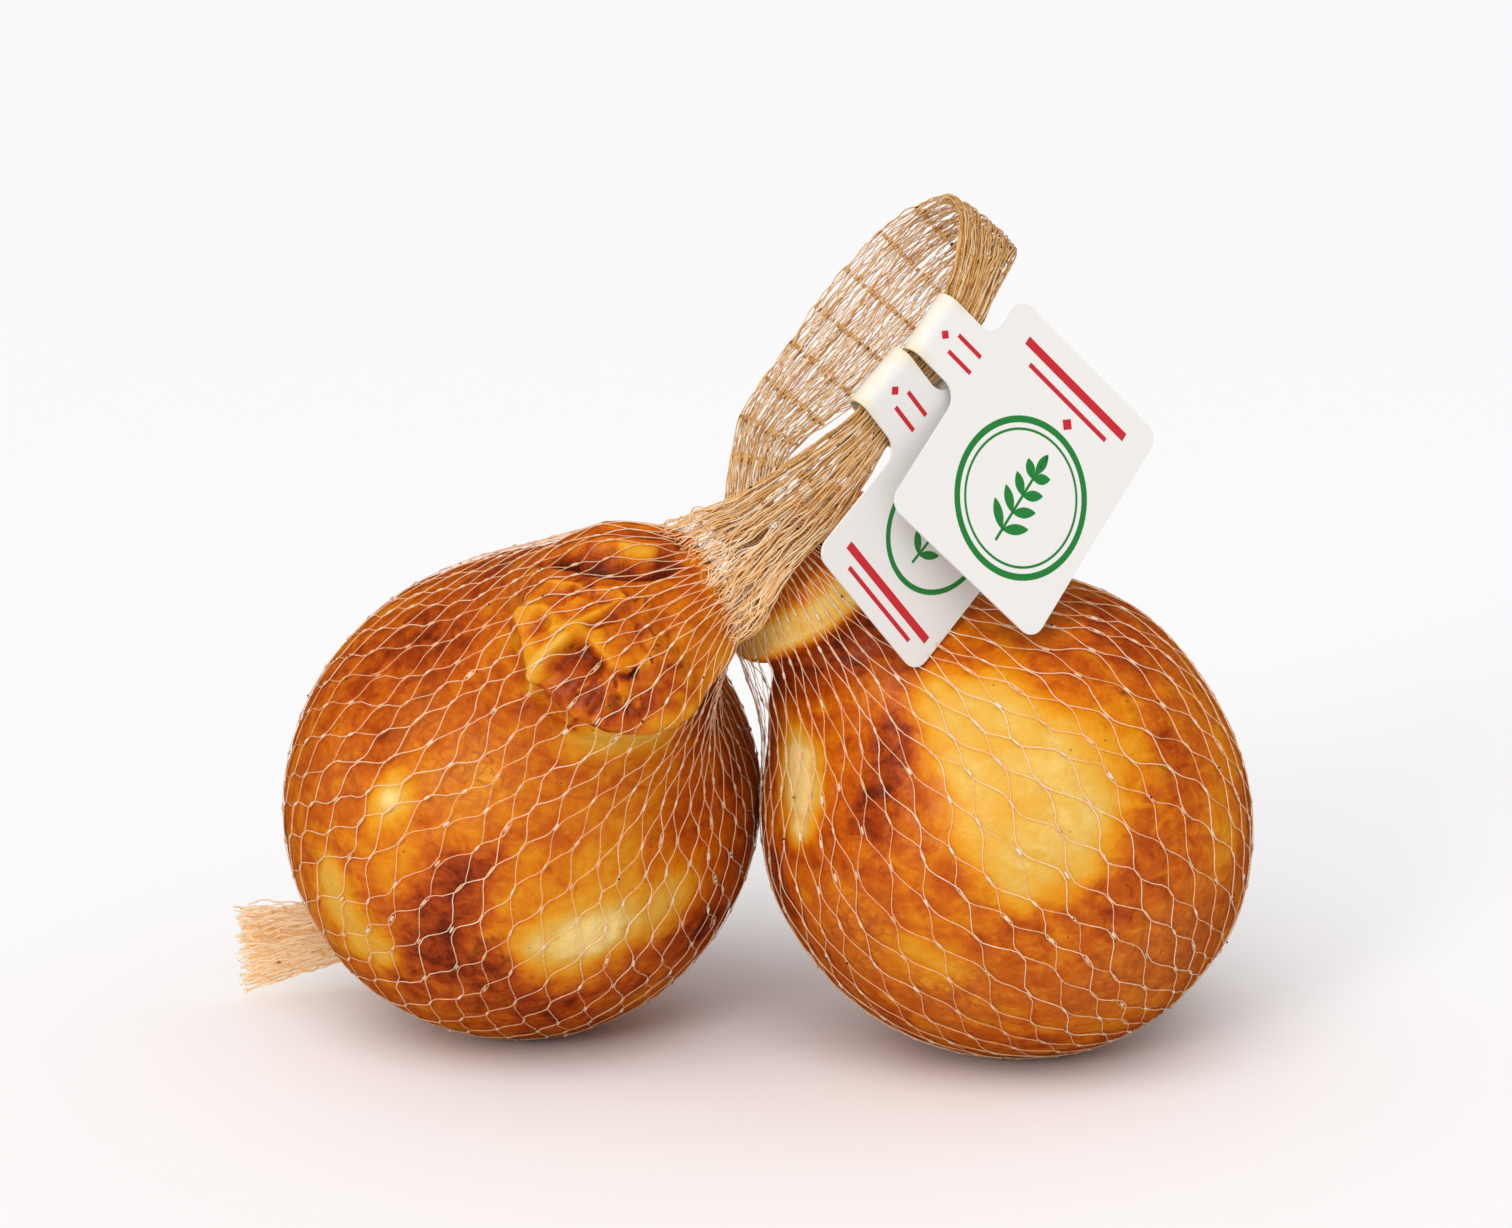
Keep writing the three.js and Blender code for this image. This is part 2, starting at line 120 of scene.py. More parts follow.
# Small crumples that the curd keeps where the knob was pinched shut, with painted shade that is darker the
# deeper each one dents and lighter where it rises: the areas of the disc where they lie, as a middle and half
# sizes, and how many there are.
LEFT_CHEESE["crumples"] = [
    ((-0.3, -0.68), (0.34, 0.16), 34),
    ((0.2, -0.1), (0.25, 0.4), 26),
    ((-0.5, 0.42), (0.2, 0.14), 14),
]
RIGHT_CHEESE["crumples"] = [((0.0, 0.0), (0.6, 0.6), 40)]
crumple_random = np.random.default_rng(5)
for cheese in (LEFT_CHEESE, RIGHT_CHEESE):
    for (middle_x, middle_y), (half_x, half_y), count in cheese["crumples"]:
        for _ in range(count):
            x = middle_x + half_x * crumple_random.uniform(-1, 1)
            y = middle_y + half_y * crumple_random.uniform(-1, 1)
            turn, reach = crumple_random.uniform(0, math.pi), crumple_random.uniform(0.02, 0.09)
            line = [(x, y), (x + reach * math.cos(turn), y + reach * math.sin(turn))]
            width, height = crumple_random.uniform(0.012, 0.026), crumple_random.uniform(-0.7, 0.35)
            # painted shade from the height: dark in the dents, lighter on the rises
            cheese["folds"].append((line, width, width, height, 0.42 + 0.45 * height))

# The knob's lip, which overhangs the neck: how far along the axis its edge is, how deep the groove under it
# is and how far it reaches along the neck, in mm, and the middle and half of the turn round the axis over
# which it shows, in degrees.
LEFT_CHEESE["lip"] = (86.5, 3.4, 19, -112, 105)
RIGHT_CHEESE["lip"] = (74, 2.4, 17, -40, 110)

# Shades in rings round the neck: from and to along the axis and how softly they end, in mm, the middle and
# half of their turn in degrees, and the shade. The dark rings just under the lips carry painted shade.
LEFT_CHEESE["rings"] = [
    (71, 84, 11, -76, 52, 0.88),
    (86.5, 90.5, 3, -112, 100, 0.66),
    # a thin dark line just under the left lip's edge: painted shadow of the lip
    (84.2, 86.2, 1.2, -165, 62, 0.16),
]
RIGHT_CHEESE["rings"] = [
    # dark band in the groove under the right lip: brown rind deepened with painted shade
    (62, 73, 6, -35, 70, 0.16),
    (74.5, 82.5, 4, -35, 75, 0.88),
]

# Marks of the smoke, in the order in which they lie over each other: their shade, how softly they end in mm,
# and the balls that they are made of, each a place and a radius in mm. A few marks are painted light and
# shade instead: a sheen and a glint on the left cheese, a pale patch on its left edge made brighter, light
# along the right cheese's right edge, and shade between the cheeses and near the floor.
LEFT_CHEESE["shade"] = 0.42
LEFT_CHEESE["marks"] = [
    (0.29, 30, [(-82, -27, 96, 22), (-54, -8, 124, 16)]),
    (0.15, 16, [(-71, -19, 111, 7), (-65.5, -34, 105, 5)]),
    (0.48, 22, [(-95, -24, 82, 8)]),
    (0.38, 16, [(-58, -46, 95, 8)]),
    # the satin patch: orange rind with a painted sheen at its core
    (0.56, 20, [(-59, -49, 81, 8), (-68, -44, 78, 5)]),
    (0.62, 18, [(-79, -42, 58, 8)]),
    (0.50, 20, [(-30, -50, 66, 17), (-25, -55, 80, 8)]),
    (0.33, 18, [(-8, -33, 66, 8)]),
    # painted shade on the side that faces the right cheese
    (0.24, 14, [(2, -14, 50, 7), (0, -15, 70, 7), (-3, -8, 30, 7), (-5, -22, 86, 6)]),
    (0.64, 16, [(-26, -45, 50, 11), (-13, -34, 47, 7), (-44, -48, 42, 6), (-49, -50, 51, 6)]),
    (0.84, 12, [(-22, -42, 43, 6.5), (-14, -36, 45, 4)]),
    (1.0, 11, [(-37, -45, 39, 7), (-29, -43, 41, 6), (-45, -46, 38, 3)]),
    (0.16, 12, [(-62, -50, 56, 6.5), (-65, -47, 45, 6.5), (-68, -43, 34, 7), (-57, -44, 30, 6.5)]),
    # darker towards the floor: painted shade
    (0.22, 12, [(-54, -37, 21, 9), (-40, -32, 17, 8), (-22, -26, 22, 5), (-75, -34, 26, 6)]),
    # more painted shade low on the side that faces the right cheese
    (0.13, 12, [(-7, -22, 34, 7), (-13, -30, 27, 5)]),
    # a small pale spot of the rind, made brighter as a painted glint
    (1.0, 10, [(-79.5, -42.5, 73.5, 5)]),
    # a pale patch of the rind on the left edge, brightened as painted light
    (0.8, 8, [(-95.5, -31, 50, 5), (-92, -31.5, 41, 7), (-87, -33, 35, 6), (-82, -35, 35, 3)]),
    (0.64, 20, [(-66, 64, 68, 13), (-52, 68, 56, 10), (-82, 56, 60, 6), (-20, 58, 66, 6)]),
    (0.86, 13, [(-68, 64, 70, 8), (-58, 67, 62, 7), (-48, 68, 52, 5), (-76, 60, 74, 3)]),
    (0.22, 18, [(-100, 40, 45, 10), (-45, 55, 100, 10), (-24, 60, 40, 8)]),
]
RIGHT_CHEESE["shade"] = 0.41
RIGHT_CHEESE["marks"] = [
    (0.46, 26, [(113, -20, 92, 18)]),
    (0.29, 20, [(92, -25, 110, 13)]),
    # painted light along the right edge, over the orange rind
    (0.62, 18, [(117.5, -36, 66, 9), (121, -26, 80, 5)]),
    # painted shade on the side that faces the left cheese
    (0.18, 14, [(12.6, -24, 47.6, 8)]),
    (0.36, 14, [(31, -51, 62, 8)]),
    (0.40, 20, [(50, -54, 30, 16), (30, -45, 40, 10)]),
    (0.33, 18, [(105, -47, 40, 10), (92, -55, 46, 6)]),
    (0.64, 18, [(62, -50, 97, 10), (78, -56, 85, 14), (92, -50, 86, 9), (76, -61, 68, 10)]),
    (0.86, 12, [
        (50, -46, 101, 3.5), (58, -50, 98, 5), (66, -52, 95, 6.5), (73, -57, 86, 11), (60, -58, 81, 7.5),
        (52, -51, 93, 4.5), (55, -55, 85, 6), (60, -61, 72, 6),
        (82, -59, 77, 9), (71, -62, 68, 9.5), (80, -61.5, 64, 6.5), (68, -63, 60, 5.5),
    ]),
    (0.60, 12, [(17, -33, 74, 11)]),
    (1.05, 9, [(16.5, -31, 80, 5.5), (17.5, -35, 71, 5.5), (17, -36, 64, 3.5)]),
    (0.14, 10, [(37, -48, 88, 5), (34.5, -50.5, 77, 5), (33, -51.5, 70, 2.5)]),
    (0.78, 14, [(50, -55, 36, 6), (44, -54, 39, 4)]),
    (0.64, 20, [(86, 48, 74, 13), (74, 54, 62, 11), (62, 56, 54, 7), (100, 40, 84, 5)]),
    (0.86, 13, [(88, 47, 76, 7), (80, 52, 68, 7), (70, 55, 60, 5), (96, 42, 82, 2)]),
    (0.22, 18, [(112, 30, 50, 10), (60, 48, 105, 9), (44, 46, 66, 7)]),
]

# Areas where the rind dried first and crinkled like leather, which also get a salmon painted sheen, as balls
# of a place and a radius in mm.
LEFT_CHEESE["crinkle_and_sheen_share"] = [(-60, -48, 84, 13), (-72, -40, 92, 8), (-90, -30, 76, 8), (-60, 60, 90, 18)]
RIGHT_CHEESE["crinkle_and_sheen_share"] = [
    (30, -45, 42, 13), (52, -54, 28, 13), (104, -46, 36, 16), (84, -54, 26, 9), (90, 50, 60, 20),
]
CRINKLE_AND_SHEEN_SOFT = 14  # mm over which those areas end

SHOULDER_POWER = 1.4  # above 1 the shoulder stays full for longer before it falls to the neck
BULGE_TIGHTNESS = 1.5
LOBE_START = 12  # mm from the axis within which a lobe fades out
LIP_ROLL = (0.8, 1.5, 2.2)  # mm: the height of the lip's rolled edge, where its middle is and its half width
LIP_STEP = 4.5  # mm over which the groove drops away under the lip
LIP_REST = 8  # mm under the lip where the groove starts to rise again
TURN_FADE = 14  # degrees to each side of a turn's end over which it fades
MARK_BLEND = 3  # mm over which the balls of a mark flow together
OUTLINE_STEPS = 800
CHEESE_SEGMENTS = 356
CHEESE_RINGS = 272
KNOB_DENSITY = 2.2  # rings lie this many times closer on the knob than on the body
KNOB_DENSE_FROM = 6  # mm before the neck where they start to


def unit(vectors):
    """Vectors of length 1 with the same directions."""
    vectors = np.asarray(vectors, float)
    return vectors / np.maximum(np.linalg.norm(vectors, axis=-1, keepdims=True), 1e-12)


def smoothstep(values, low, high):
    """Shares that go smoothly from 0 at low to 1 at high, whichever of the two is larger."""
    share = np.clip((values - low) / (high - low), 0, 1)
    return share * share * (3 - 2 * share)


def lumps(points, size, seed):
    """Smooth noise from about -1 to 1 over points in mm, with lumps of about a size in mm."""
    return np.array([noise.noise(p) for p in points / size + 17.3 * seed])


def cheese_axes(cheese):
    """Right, up and outward directions of a cheese for a viewer of its knob."""
    outward = unit(cheese["axis"])
    up = unit(np.array((0, 0, 1)) - outward[2] * outward)
    return np.cross(up, outward), up, outward


def cheese_outline(cheese):
    """Half of the outline, from the base to the knob's tip: distances from the axis and along it."""
    steps = np.linspace(0, 1, OUTLINE_STEPS, endpoint=False)
    base = np.pi / 2 * (steps - 1)
    start = -math.acos(cheese["neck"] / cheese["knob_radius"])
    neck_at = cheese["knob_at"] + cheese["knob_half"] * math.sin(start)
    fall = (1 + np.cos(np.pi * steps**SHOULDER_POWER)) / 2
    knob = start + (np.pi / 2 - start) * np.append(steps, 1)
    shoulder = cheese["neck"] + (cheese["radius"] - cheese["neck"]) * fall
    out = np.concatenate([cheese["radius"] * np.cos(base), shoulder, cheese["knob_radius"] * np.cos(knob)])
    tip = cheese["knob_at"] + cheese["knob_half"] * np.sin(knob)
    along = np.concatenate([cheese["base"] * np.sin(base), neck_at * steps, tip])
    crowding = np.where(along > neck_at - KNOB_DENSE_FROM, KNOB_DENSITY, 1)[1:]
    walked = np.append(0, np.cumsum(np.hypot(np.diff(out), np.diff(along)) * crowding))
    rings = np.linspace(0, walked[-1], CHEESE_RINGS + 1)
    return np.interp(rings, walked, out), np.interp(rings, walked, along)


def stroke(x, y, line, left, right):
    """Nearness from 0 to 1 of places on the knob's disc to a line, with a half width on each side of it."""
    nearest = np.full(x.shape, np.inf)
    width = np.full(x.shape, left)
    for (ax, ay), (bx, by) in zip(line, line[1:]):
        dx, dy = bx - ax, by - ay
        share = np.clip(((x - ax) * dx + (y - ay) * dy) / (dx * dx + dy * dy), 0, 1)
        gap_x, gap_y = x - ax - share * dx, y - ay - share * dy
        distance = np.hypot(gap_x, gap_y)
        closer = distance < nearest
        nearest = np.where(closer, distance, nearest)
        width = np.where(closer, np.where(dx * gap_y - dy * gap_x > 0, left, right), width)
    return np.exp(-((nearest / width) ** 2))


def degrees_from(middle, around):
    """Angles round the axis, as degrees from a middle between -180 and 180."""
    return (np.degrees(around) - middle + 180) % 360 - 180


def round_share(around, middle, half):
    """1 within a turn round the axis, given by its middle and half in degrees, fading to 0 beside it."""
    return smoothstep(np.abs(degrees_from(middle, around)), half + TURN_FADE, half - TURN_FADE)


def shape_cheese(cheese, out, along, around):
    """Points of the rind in mm, their shade, and their shares of crinkled rind with a painted sheen, and of
    the knob.
    """
    right, up, outward = cheese_axes(cheese)
    fade = smoothstep(out, 0, LOBE_START)
    for lobe_along, lobe_around, length, turn, height in cheese["lobes"]:
        turned = degrees_from(lobe_around, around)
        out = out + fade * height * np.exp(-(((along - lobe_along) / length) ** 2) - (turned / turn) ** 2)
    disc_x = out * np.cos(around) / cheese["knob_radius"]
    disc_y = out * np.sin(around) / cheese["knob_radius"]
    on_knob = smoothstep(along, cheese["knob_at"] - cheese["knob_half"] / 2, cheese["knob_at"])
    edge, depth, length, turn, half = cheese["lip"]
    shown = round_share(around, turn, half)
    groove = smoothstep(along, edge, edge - LIP_STEP) * smoothstep(along, edge - length, edge - LIP_REST)
    roll_height, roll_at, roll_half = LIP_ROLL
    roll = roll_height * np.exp(-(((along - edge - roll_at) / roll_half) ** 2))
    out = out + shown * (roll - depth * groove)
    local = np.stack([out * np.cos(around), out * np.sin(around), along], -1)
    from_centre = unit(local - on_knob[:, None] * np.array((0, 0, cheese["knob_at"])))

    direction = unit(local @ np.stack([right, up, outward]))
    lift = np.zeros(len(out))
    for towards, height in cheese["bulges"]:
        angle = np.arccos(np.clip(direction @ unit(towards), -1, 1))
        lift += (1 - on_knob) * height * np.cos(np.minimum(angle * BULGE_TIGHTNESS, np.pi / 2))
    folded = []
    for line, left_width, right_width, height, fold_shade in cheese["folds"]:
        near = on_knob * stroke(disc_x, disc_y, line, left_width, right_width)
        lift += height * near
        if fold_shade is not None:
            folded.append((near, fold_shade))
    local = local + lift[:, None] * from_centre
    local[:, 1] -= on_knob * cheese["droop"]
    points = np.array(cheese["centre"]) + local @ np.stack([right, up, outward])

    shade = cheese["shade"] + 0.10 * lumps(points, 26, 1) + 0.05 * lumps(points, 11, 2)
    wobble = 2.6 * lumps(points, 14, 3) + 1.2 * lumps(points, 5, 4)
    for mark, soft, balls in cheese["marks"]:
        blend = np.zeros(len(points))
        for x, y, z, radius in balls:
            blend += np.exp((radius - np.linalg.norm(points - (x, y, z), axis=1)) / MARK_BLEND)
        inside = MARK_BLEND * np.log(np.maximum(blend, 1e-30))
        shade += smoothstep(inside + wobble, -soft / 2, soft / 2) * (mark - shade)
    for low, high, soft, turn, half, ring_shade in cheese["rings"]:
        place = along + 0.5 * wobble
        within = smoothstep(place, low - soft / 2, low + soft / 2)
        within *= smoothstep(place, high + soft / 2, high - soft / 2)
        shade += within * round_share(around, turn, half) * (ring_shade - shade)
    # the folds' painted shade and light, laid over the smoke marks
    for near, fold_shade in folded:
        shade += near * (fold_shade - shade)
    crinkle_and_sheen_share = np.zeros(len(points))
    for x, y, z, radius in cheese["crinkle_and_sheen_share"]:
        inside = radius - np.linalg.norm(points - (x, y, z), axis=1)
        crinkle_and_sheen_share = np.maximum(crinkle_and_sheen_share, smoothstep(inside + 2 * wobble, -CRINKLE_AND_SHEEN_SOFT / 2, CRINKLE_AND_SHEEN_SOFT / 2))
    return points, shade, crinkle_and_sheen_share, on_knob


def new_material(name):
    """A material with nodes, and its shader."""
    material = bpy.data.materials.new(name)
    material.use_nodes = True
    return material, material.node_tree.nodes["Principled BSDF"]


def painted(nodes, name):
    """The values that a mesh's points carry under a name."""
    node = nodes.new("ShaderNodeAttribute")
    node.attribute_name = name
    return node.outputs["Fac"]


def colour_ramp(nodes, stops):
    """A ramp through stops, each a position and a colour with or without how solid it is."""
    node = nodes.new("ShaderNodeValToRGB")
    while len(node.color_ramp.elements) < len(stops):
        node.color_ramp.elements.new(1)
    for element, (position, colour) in zip(node.color_ramp.elements, stops):
        element.position = position
        element.color = (*colour, 1)[:4]
    return node


def smoked_rind():
    """Satin rind: shade from the mesh, mottled by the smoke, with fine dark wrinkles and specks, and a salmon
    painted sheen where it crinkled.
    """
    material, shader = new_material("smoked_rind")
    nodes, links = material.node_tree.nodes, material.node_tree.links
    place = nodes.new("ShaderNodeTexCoord").outputs["Object"]

    def value(operation, first, second=None, third=None):
        node = nodes.new("ShaderNodeMath")
        node.operation = operation
        for socket, source in zip(node.inputs, (first, second, third)):
            if source is None:
                continue
            if isinstance(source, (int, float)):
                socket.default_value = source
            else:
                links.new(source, socket)
        return node.outputs[0]

    def blotches(size, detail, distortion, vector=place):
        node = nodes.new("ShaderNodeTexNoise")
        node.inputs["Scale"].default_value = 1 / (size * MM)
        node.inputs["Detail"].default_value = detail
        node.inputs["Distortion"].default_value = distortion
        links.new(vector, node.inputs["Vector"])
        return node.outputs["Fac"]

    def fade(source, low, high):
        node = nodes.new("ShaderNodeMapRange")
        node.interpolation_type = "SMOOTHSTEP"
        node.inputs["From Min"].default_value = low
        node.inputs["From Max"].default_value = high
        links.new(source, node.inputs["Value"])
        return node.outputs["Result"]

    # Clouds of smoke: blotches of four sizes, stronger where the rind is brown
    shade = painted(nodes, "shade")
    large, fine, grain = blotches(13, 5, 0.8), blotches(3.0, 6, 0.9), blotches(0.8, 3, 0.4)
    flatter = nodes.new("ShaderNodeMapping")
    flatter.inputs["Scale"].default_value = (1, 1, 1.6)
    links.new(place, flatter.inputs["Vector"])
    streaks = blotches(8.5, 7, 1.1, flatter.outputs["Vector"])
    brown = fade(shade, 0.85, 0.25)
    mottle = value("MULTIPLY", value("SUBTRACT", large, 0.5), 0.45)
    for blotch, weight in ((streaks, 0.62), (fine, 0.35), (grain, 0.14)):
        mottle = value("MULTIPLY_ADD", value("SUBTRACT", blotch, 0.5), weight, mottle)
    mottle = value("MULTIPLY", mottle, value("MULTIPLY_ADD", brown, 0.68, 0.32))
    tone = value("ADD", shade, mottle)

    # Wrinkles where the rind dried first: the edges of cells that are bent out of shape
    crinkle_and_sheen = value("MULTIPLY", painted(nodes, "crinkle_and_sheen_share"), fade(shade, 0.75, 0.5))
    bend = nodes.new("ShaderNodeTexNoise")
    bend.inputs["Scale"].default_value = 1 / (3.2 * MM)
    bend.inputs["Detail"].default_value = 2
    links.new(place, bend.inputs["Vector"])
    bent = nodes.new("ShaderNodeVectorMath")
    bent.operation = "MULTIPLY_ADD"
    bent.inputs[1].default_value = (5 * MM, 5 * MM, 5 * MM)
    links.new(bend.outputs["Color"], bent.inputs[0])
    links.new(place, bent.inputs[2])
    cells = nodes.new("ShaderNodeTexVoronoi")
    cells.feature = "DISTANCE_TO_EDGE"
    cells.inputs["Scale"].default_value = 1 / (4.2 * MM)
    links.new(bent.outputs["Vector"], cells.inputs["Vector"])
    wrinkles = value("MULTIPLY", fade(cells.outputs["Distance"], 0.24, 0.0), fade(fine, 0.36, 0.56))
    crinkled = value("MULTIPLY", wrinkles, crinkle_and_sheen)

    # From scorched brown to cream
    stops = [
        (0.0, (0.10, 0.011, 0.001)),
        (0.15, (0.24, 0.028, 0.002)),
        (0.3, (0.40, 0.062, 0.001)),
        (0.45, (0.55, 0.125, 0.001)),
        (0.6, (0.66, 0.225, 0.002)),
        (0.75, (0.71, 0.33, 0.025)),
        (0.88, (0.71, 0.425, 0.083)),
        (1.0, (0.82, 0.59, 0.21)),
    ]
    ramp = colour_ramp(nodes, stops)
    ramp.color_ramp.interpolation = "CARDINAL"
    links.new(tone, ramp.inputs["Fac"])

    # Dark lines a fixed small shift from the strands
    ghost = value("MULTIPLY", painted(nodes, "pressed"), fade(shade, 0.6, 0.32))
    ghost = value("MULTIPLY", ghost, fade(large, 0.5, 0.62))

    # Specks of tar
    dots = nodes.new("ShaderNodeTexVoronoi")
    dots.inputs["Scale"].default_value = 1 / (4.2 * MM)
    links.new(place, dots.inputs["Vector"])
    chance = nodes.new("ShaderNodeSeparateColor")
    links.new(dots.outputs["Color"], chance.inputs["Color"])
    some = value("GREATER_THAN", chance.outputs["Red"], 0.62)
    speck = value("MULTIPLY", fade(dots.outputs["Distance"], 0.085, 0.05), some)

    def laid_over(colour, mask, amount, upper):
        node = nodes.new("ShaderNodeMix")
        node.data_type = "RGBA"
        links.new(value("MULTIPLY", mask, amount), node.inputs["Factor"])
        links.new(colour, node.inputs["A"])
        node.inputs["B"].default_value = (*upper, 1)
        return node.outputs["Result"]

    # salmon laid over the crinkled areas: a painted sheen
    colour = laid_over(ramp.outputs["Color"], crinkle_and_sheen, 0.2, (0.82, 0.28, 0.03))
    colour = laid_over(colour, crinkled, 0.6, (0.34, 0.05, 0.003))
    colour = laid_over(colour, ghost, 0.75, (0.07, 0.012, 0.002))
    colour = laid_over(colour, speck, 0.7, (0.10, 0.03, 0.006))
    links.new(colour, shader.inputs["Base Color"])
    links.new(value("MULTIPLY_ADD", fine, 0.30, 0.18), shader.inputs["Roughness"])
    height = value("MULTIPLY_ADD", fine, 0.8, value("MULTIPLY", grain, 0.4))
    height = value("MULTIPLY_ADD", crinkled, -0.2, height)
    bump = nodes.new("ShaderNodeBump")
    bump.inputs["Strength"].default_value = 0.7
    bump.inputs["Distance"].default_value = 0.5 * MM
    links.new(height, bump.inputs["Height"])
    links.new(bump.outputs["Normal"], shader.inputs["Normal"])
    shader.inputs["Subsurface Weight"].default_value = 0.12
    shader.inputs["Subsurface Radius"].default_value = (1.0, 0.5, 0.2)
    shader.inputs["Subsurface Scale"].default_value = 4 * MM
    shader.inputs["Specular IOR Level"].default_value = 0.25
    return material


def mesh_points(mesh, kind="co"):
    """The places of a mesh's points, or their normals where the kind says so."""
    values = np.empty(len(mesh.vertices) * 3)
    mesh.vertices.foreach_get(kind, values)
    return values.reshape(-1, 3)


def paint(mesh, name, values):
    """Gives each point of a mesh a value under a name, for its material."""
    mesh.attributes.new(name, "FLOAT", "POINT").data.foreach_set("value", values)


def add_cheese(cheese, material):
    """One cheese, from a ball whose rings are moved out to the rind."""
    bpy.ops.object.select_all(action="DESELECT")
    bpy.ops.mesh.primitive_uv_sphere_add(segments=CHEESE_SEGMENTS, ring_count=CHEESE_RINGS, radius=1)
    piece = bpy.context.object
    piece.name = cheese["name"]
    mesh = piece.data
    ball = mesh_points(mesh)
    out, along = cheese_outline(cheese)
    ring = np.rint((1 - np.arccos(np.clip(ball[:, 2], -1, 1)) / np.pi) * CHEESE_RINGS).astype(int)
    around = np.arctan2(ball[:, 1], ball[:, 0])
    points, shade, crinkle_and_sheen_share, on_knob = shape_cheese(cheese, out[ring], along[ring], around)
    swell = 0.35 * lumps(points, 16, 5) + 0.12 * lumps(points, 5, 6)
    points += (1 - on_knob)[:, None] * swell[:, None] * unit(points - np.array(cheese["centre"]))
    points[:, 2] = np.maximum(points[:, 2], 0)
    mesh.vertices.foreach_set("co", (points * MM).ravel())
    paint(mesh, "shade", np.clip(shade, -0.2, 1.1))
    paint(mesh, "crinkle_and_sheen_share", crinkle_and_sheen_share)
    mesh.update()
    bpy.ops.object.shade_smooth()
    mesh.materials.append(material)
    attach(piece, "root")
    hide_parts(cheese["node"])
    return piece


rind = smoked_rind()
left_cheese = add_cheese(LEFT_CHEESE, rind)
right_cheese = add_cheese(RIGHT_CHEESE, rind)


# The net over each cheese. A knitted tube of thin clear plastic strands, joined in pairs at knots, that is
# pulled over the cheese and stretches to long diamonds. It closes to a tail at the base and a gather at the
# knob, bridges the hollow of the neck and presses lightly into the rind.
STRANDS = 82
STRAND_RADIUS = 0.135
STRAND_SIDES = 5
ROW_STEPS = 6
GUIDES = 2 * STRANDS
GUIDE_STEPS = 260
RAY_START = 200  # mm from the centre of a cheese, well outside its rind
NET_LIFT = 0.12  # mm from the rind to the middle of a strand
FLOOR_GAP = 0.1  # mm from the floor to the middle of the lowest strands
TAIL_OPENING = math.radians(6)
TAIL_RING = 4.5  # mm from the middle of the tail's start to its strands
BRIDGE_STEPS = 7  # steps along a strand over which it spans a hollow
BRIDGE_ROUNDS = 4
LEAD = 24  # mm over which the strands leave the rind for the gather or the tail
PAIR_HOLD = 1.12  # above 1 the two strands of a knot run side by side for longer
PAIR_GAP = 0.02  # share of the strands' spacing that each keeps from the middle of its knot
NET_DRIFT = 1.5  # guides that the meshes wander to the side
NET_QUIVER = 0.045  # guides that a strand bends between its knots
NET_SLIP = 0.02  # share of the net's length that the rows wander
KNOT_SEGMENTS = 6
KNOT_RINGS = 3
KNOT_POINTS = KNOT_SEGMENTS * KNOT_RINGS + 2
KNOT_HALF = 1.25  # half of a knot's length in mm
KNOT_LIFT = 0.08
TAR_SHARE = 0.1  # of the knots hold a speck of tar from the smoke
TAR_HALF = 0.4
TAR_LIFT = 0.15
TAR_TINT = -0.5
PRESS_DEPTH = 0.4  # mm that the rind gives way under a strand
PRESS_REACH = 1.4
PRESS_MARK = 0.75  # half width in mm of the dark line beside each strand
NET_SHIFT = (2.1, 0.4, -1.2)  # mm from each strand to its dark line on the rind

# The gather of the left net is the strap's first section, and that of the right net is its last one: its
# middle, the direction of its width, the direction to its face, half of its width and thickness, and the
# angle around the cheese from which the strands come to its upper edge.
LEFT_NET = {
    "name": "net_over_left_cheese",
    "rows": 24,
    "tail": (-70, 50, 21),
    "gather": (-3.2, -41.6, 127.7),
    "wide": (0.62, -0.21, -0.75),
    "face": (-0.35, -0.93, -0.03),
    "half": (13.5, 5.5),
    "upper": math.radians(110),
    "opening": math.radians(8),
}
RIGHT_NET = {
    "name": "net_over_right_cheese",
    "rows": 20,
    "tail": (101, 5, 13),
    "gather": (5.1, -34.4, 142),
    "wide": (0.9, -0.1, -0.4),
    "face": (0.16, -0.78, 0.56),
    "half": (5.5, 2.6),
    "upper": math.radians(270),
    "opening": math.radians(9),
}


def turn_towards(start, end, angle):
    """The rotation that turns directions by an angle in the plane from start to end."""
    return np.array(Matrix.Rotation(angle, 3, tuple(np.cross(start, end))))


def walked_lengths(lines):
    """How far each point of each line is from its start, along the line."""
    return np.cumsum(np.linalg.norm(np.diff(lines, axis=1, prepend=lines[:, :1]), axis=2), axis=1)


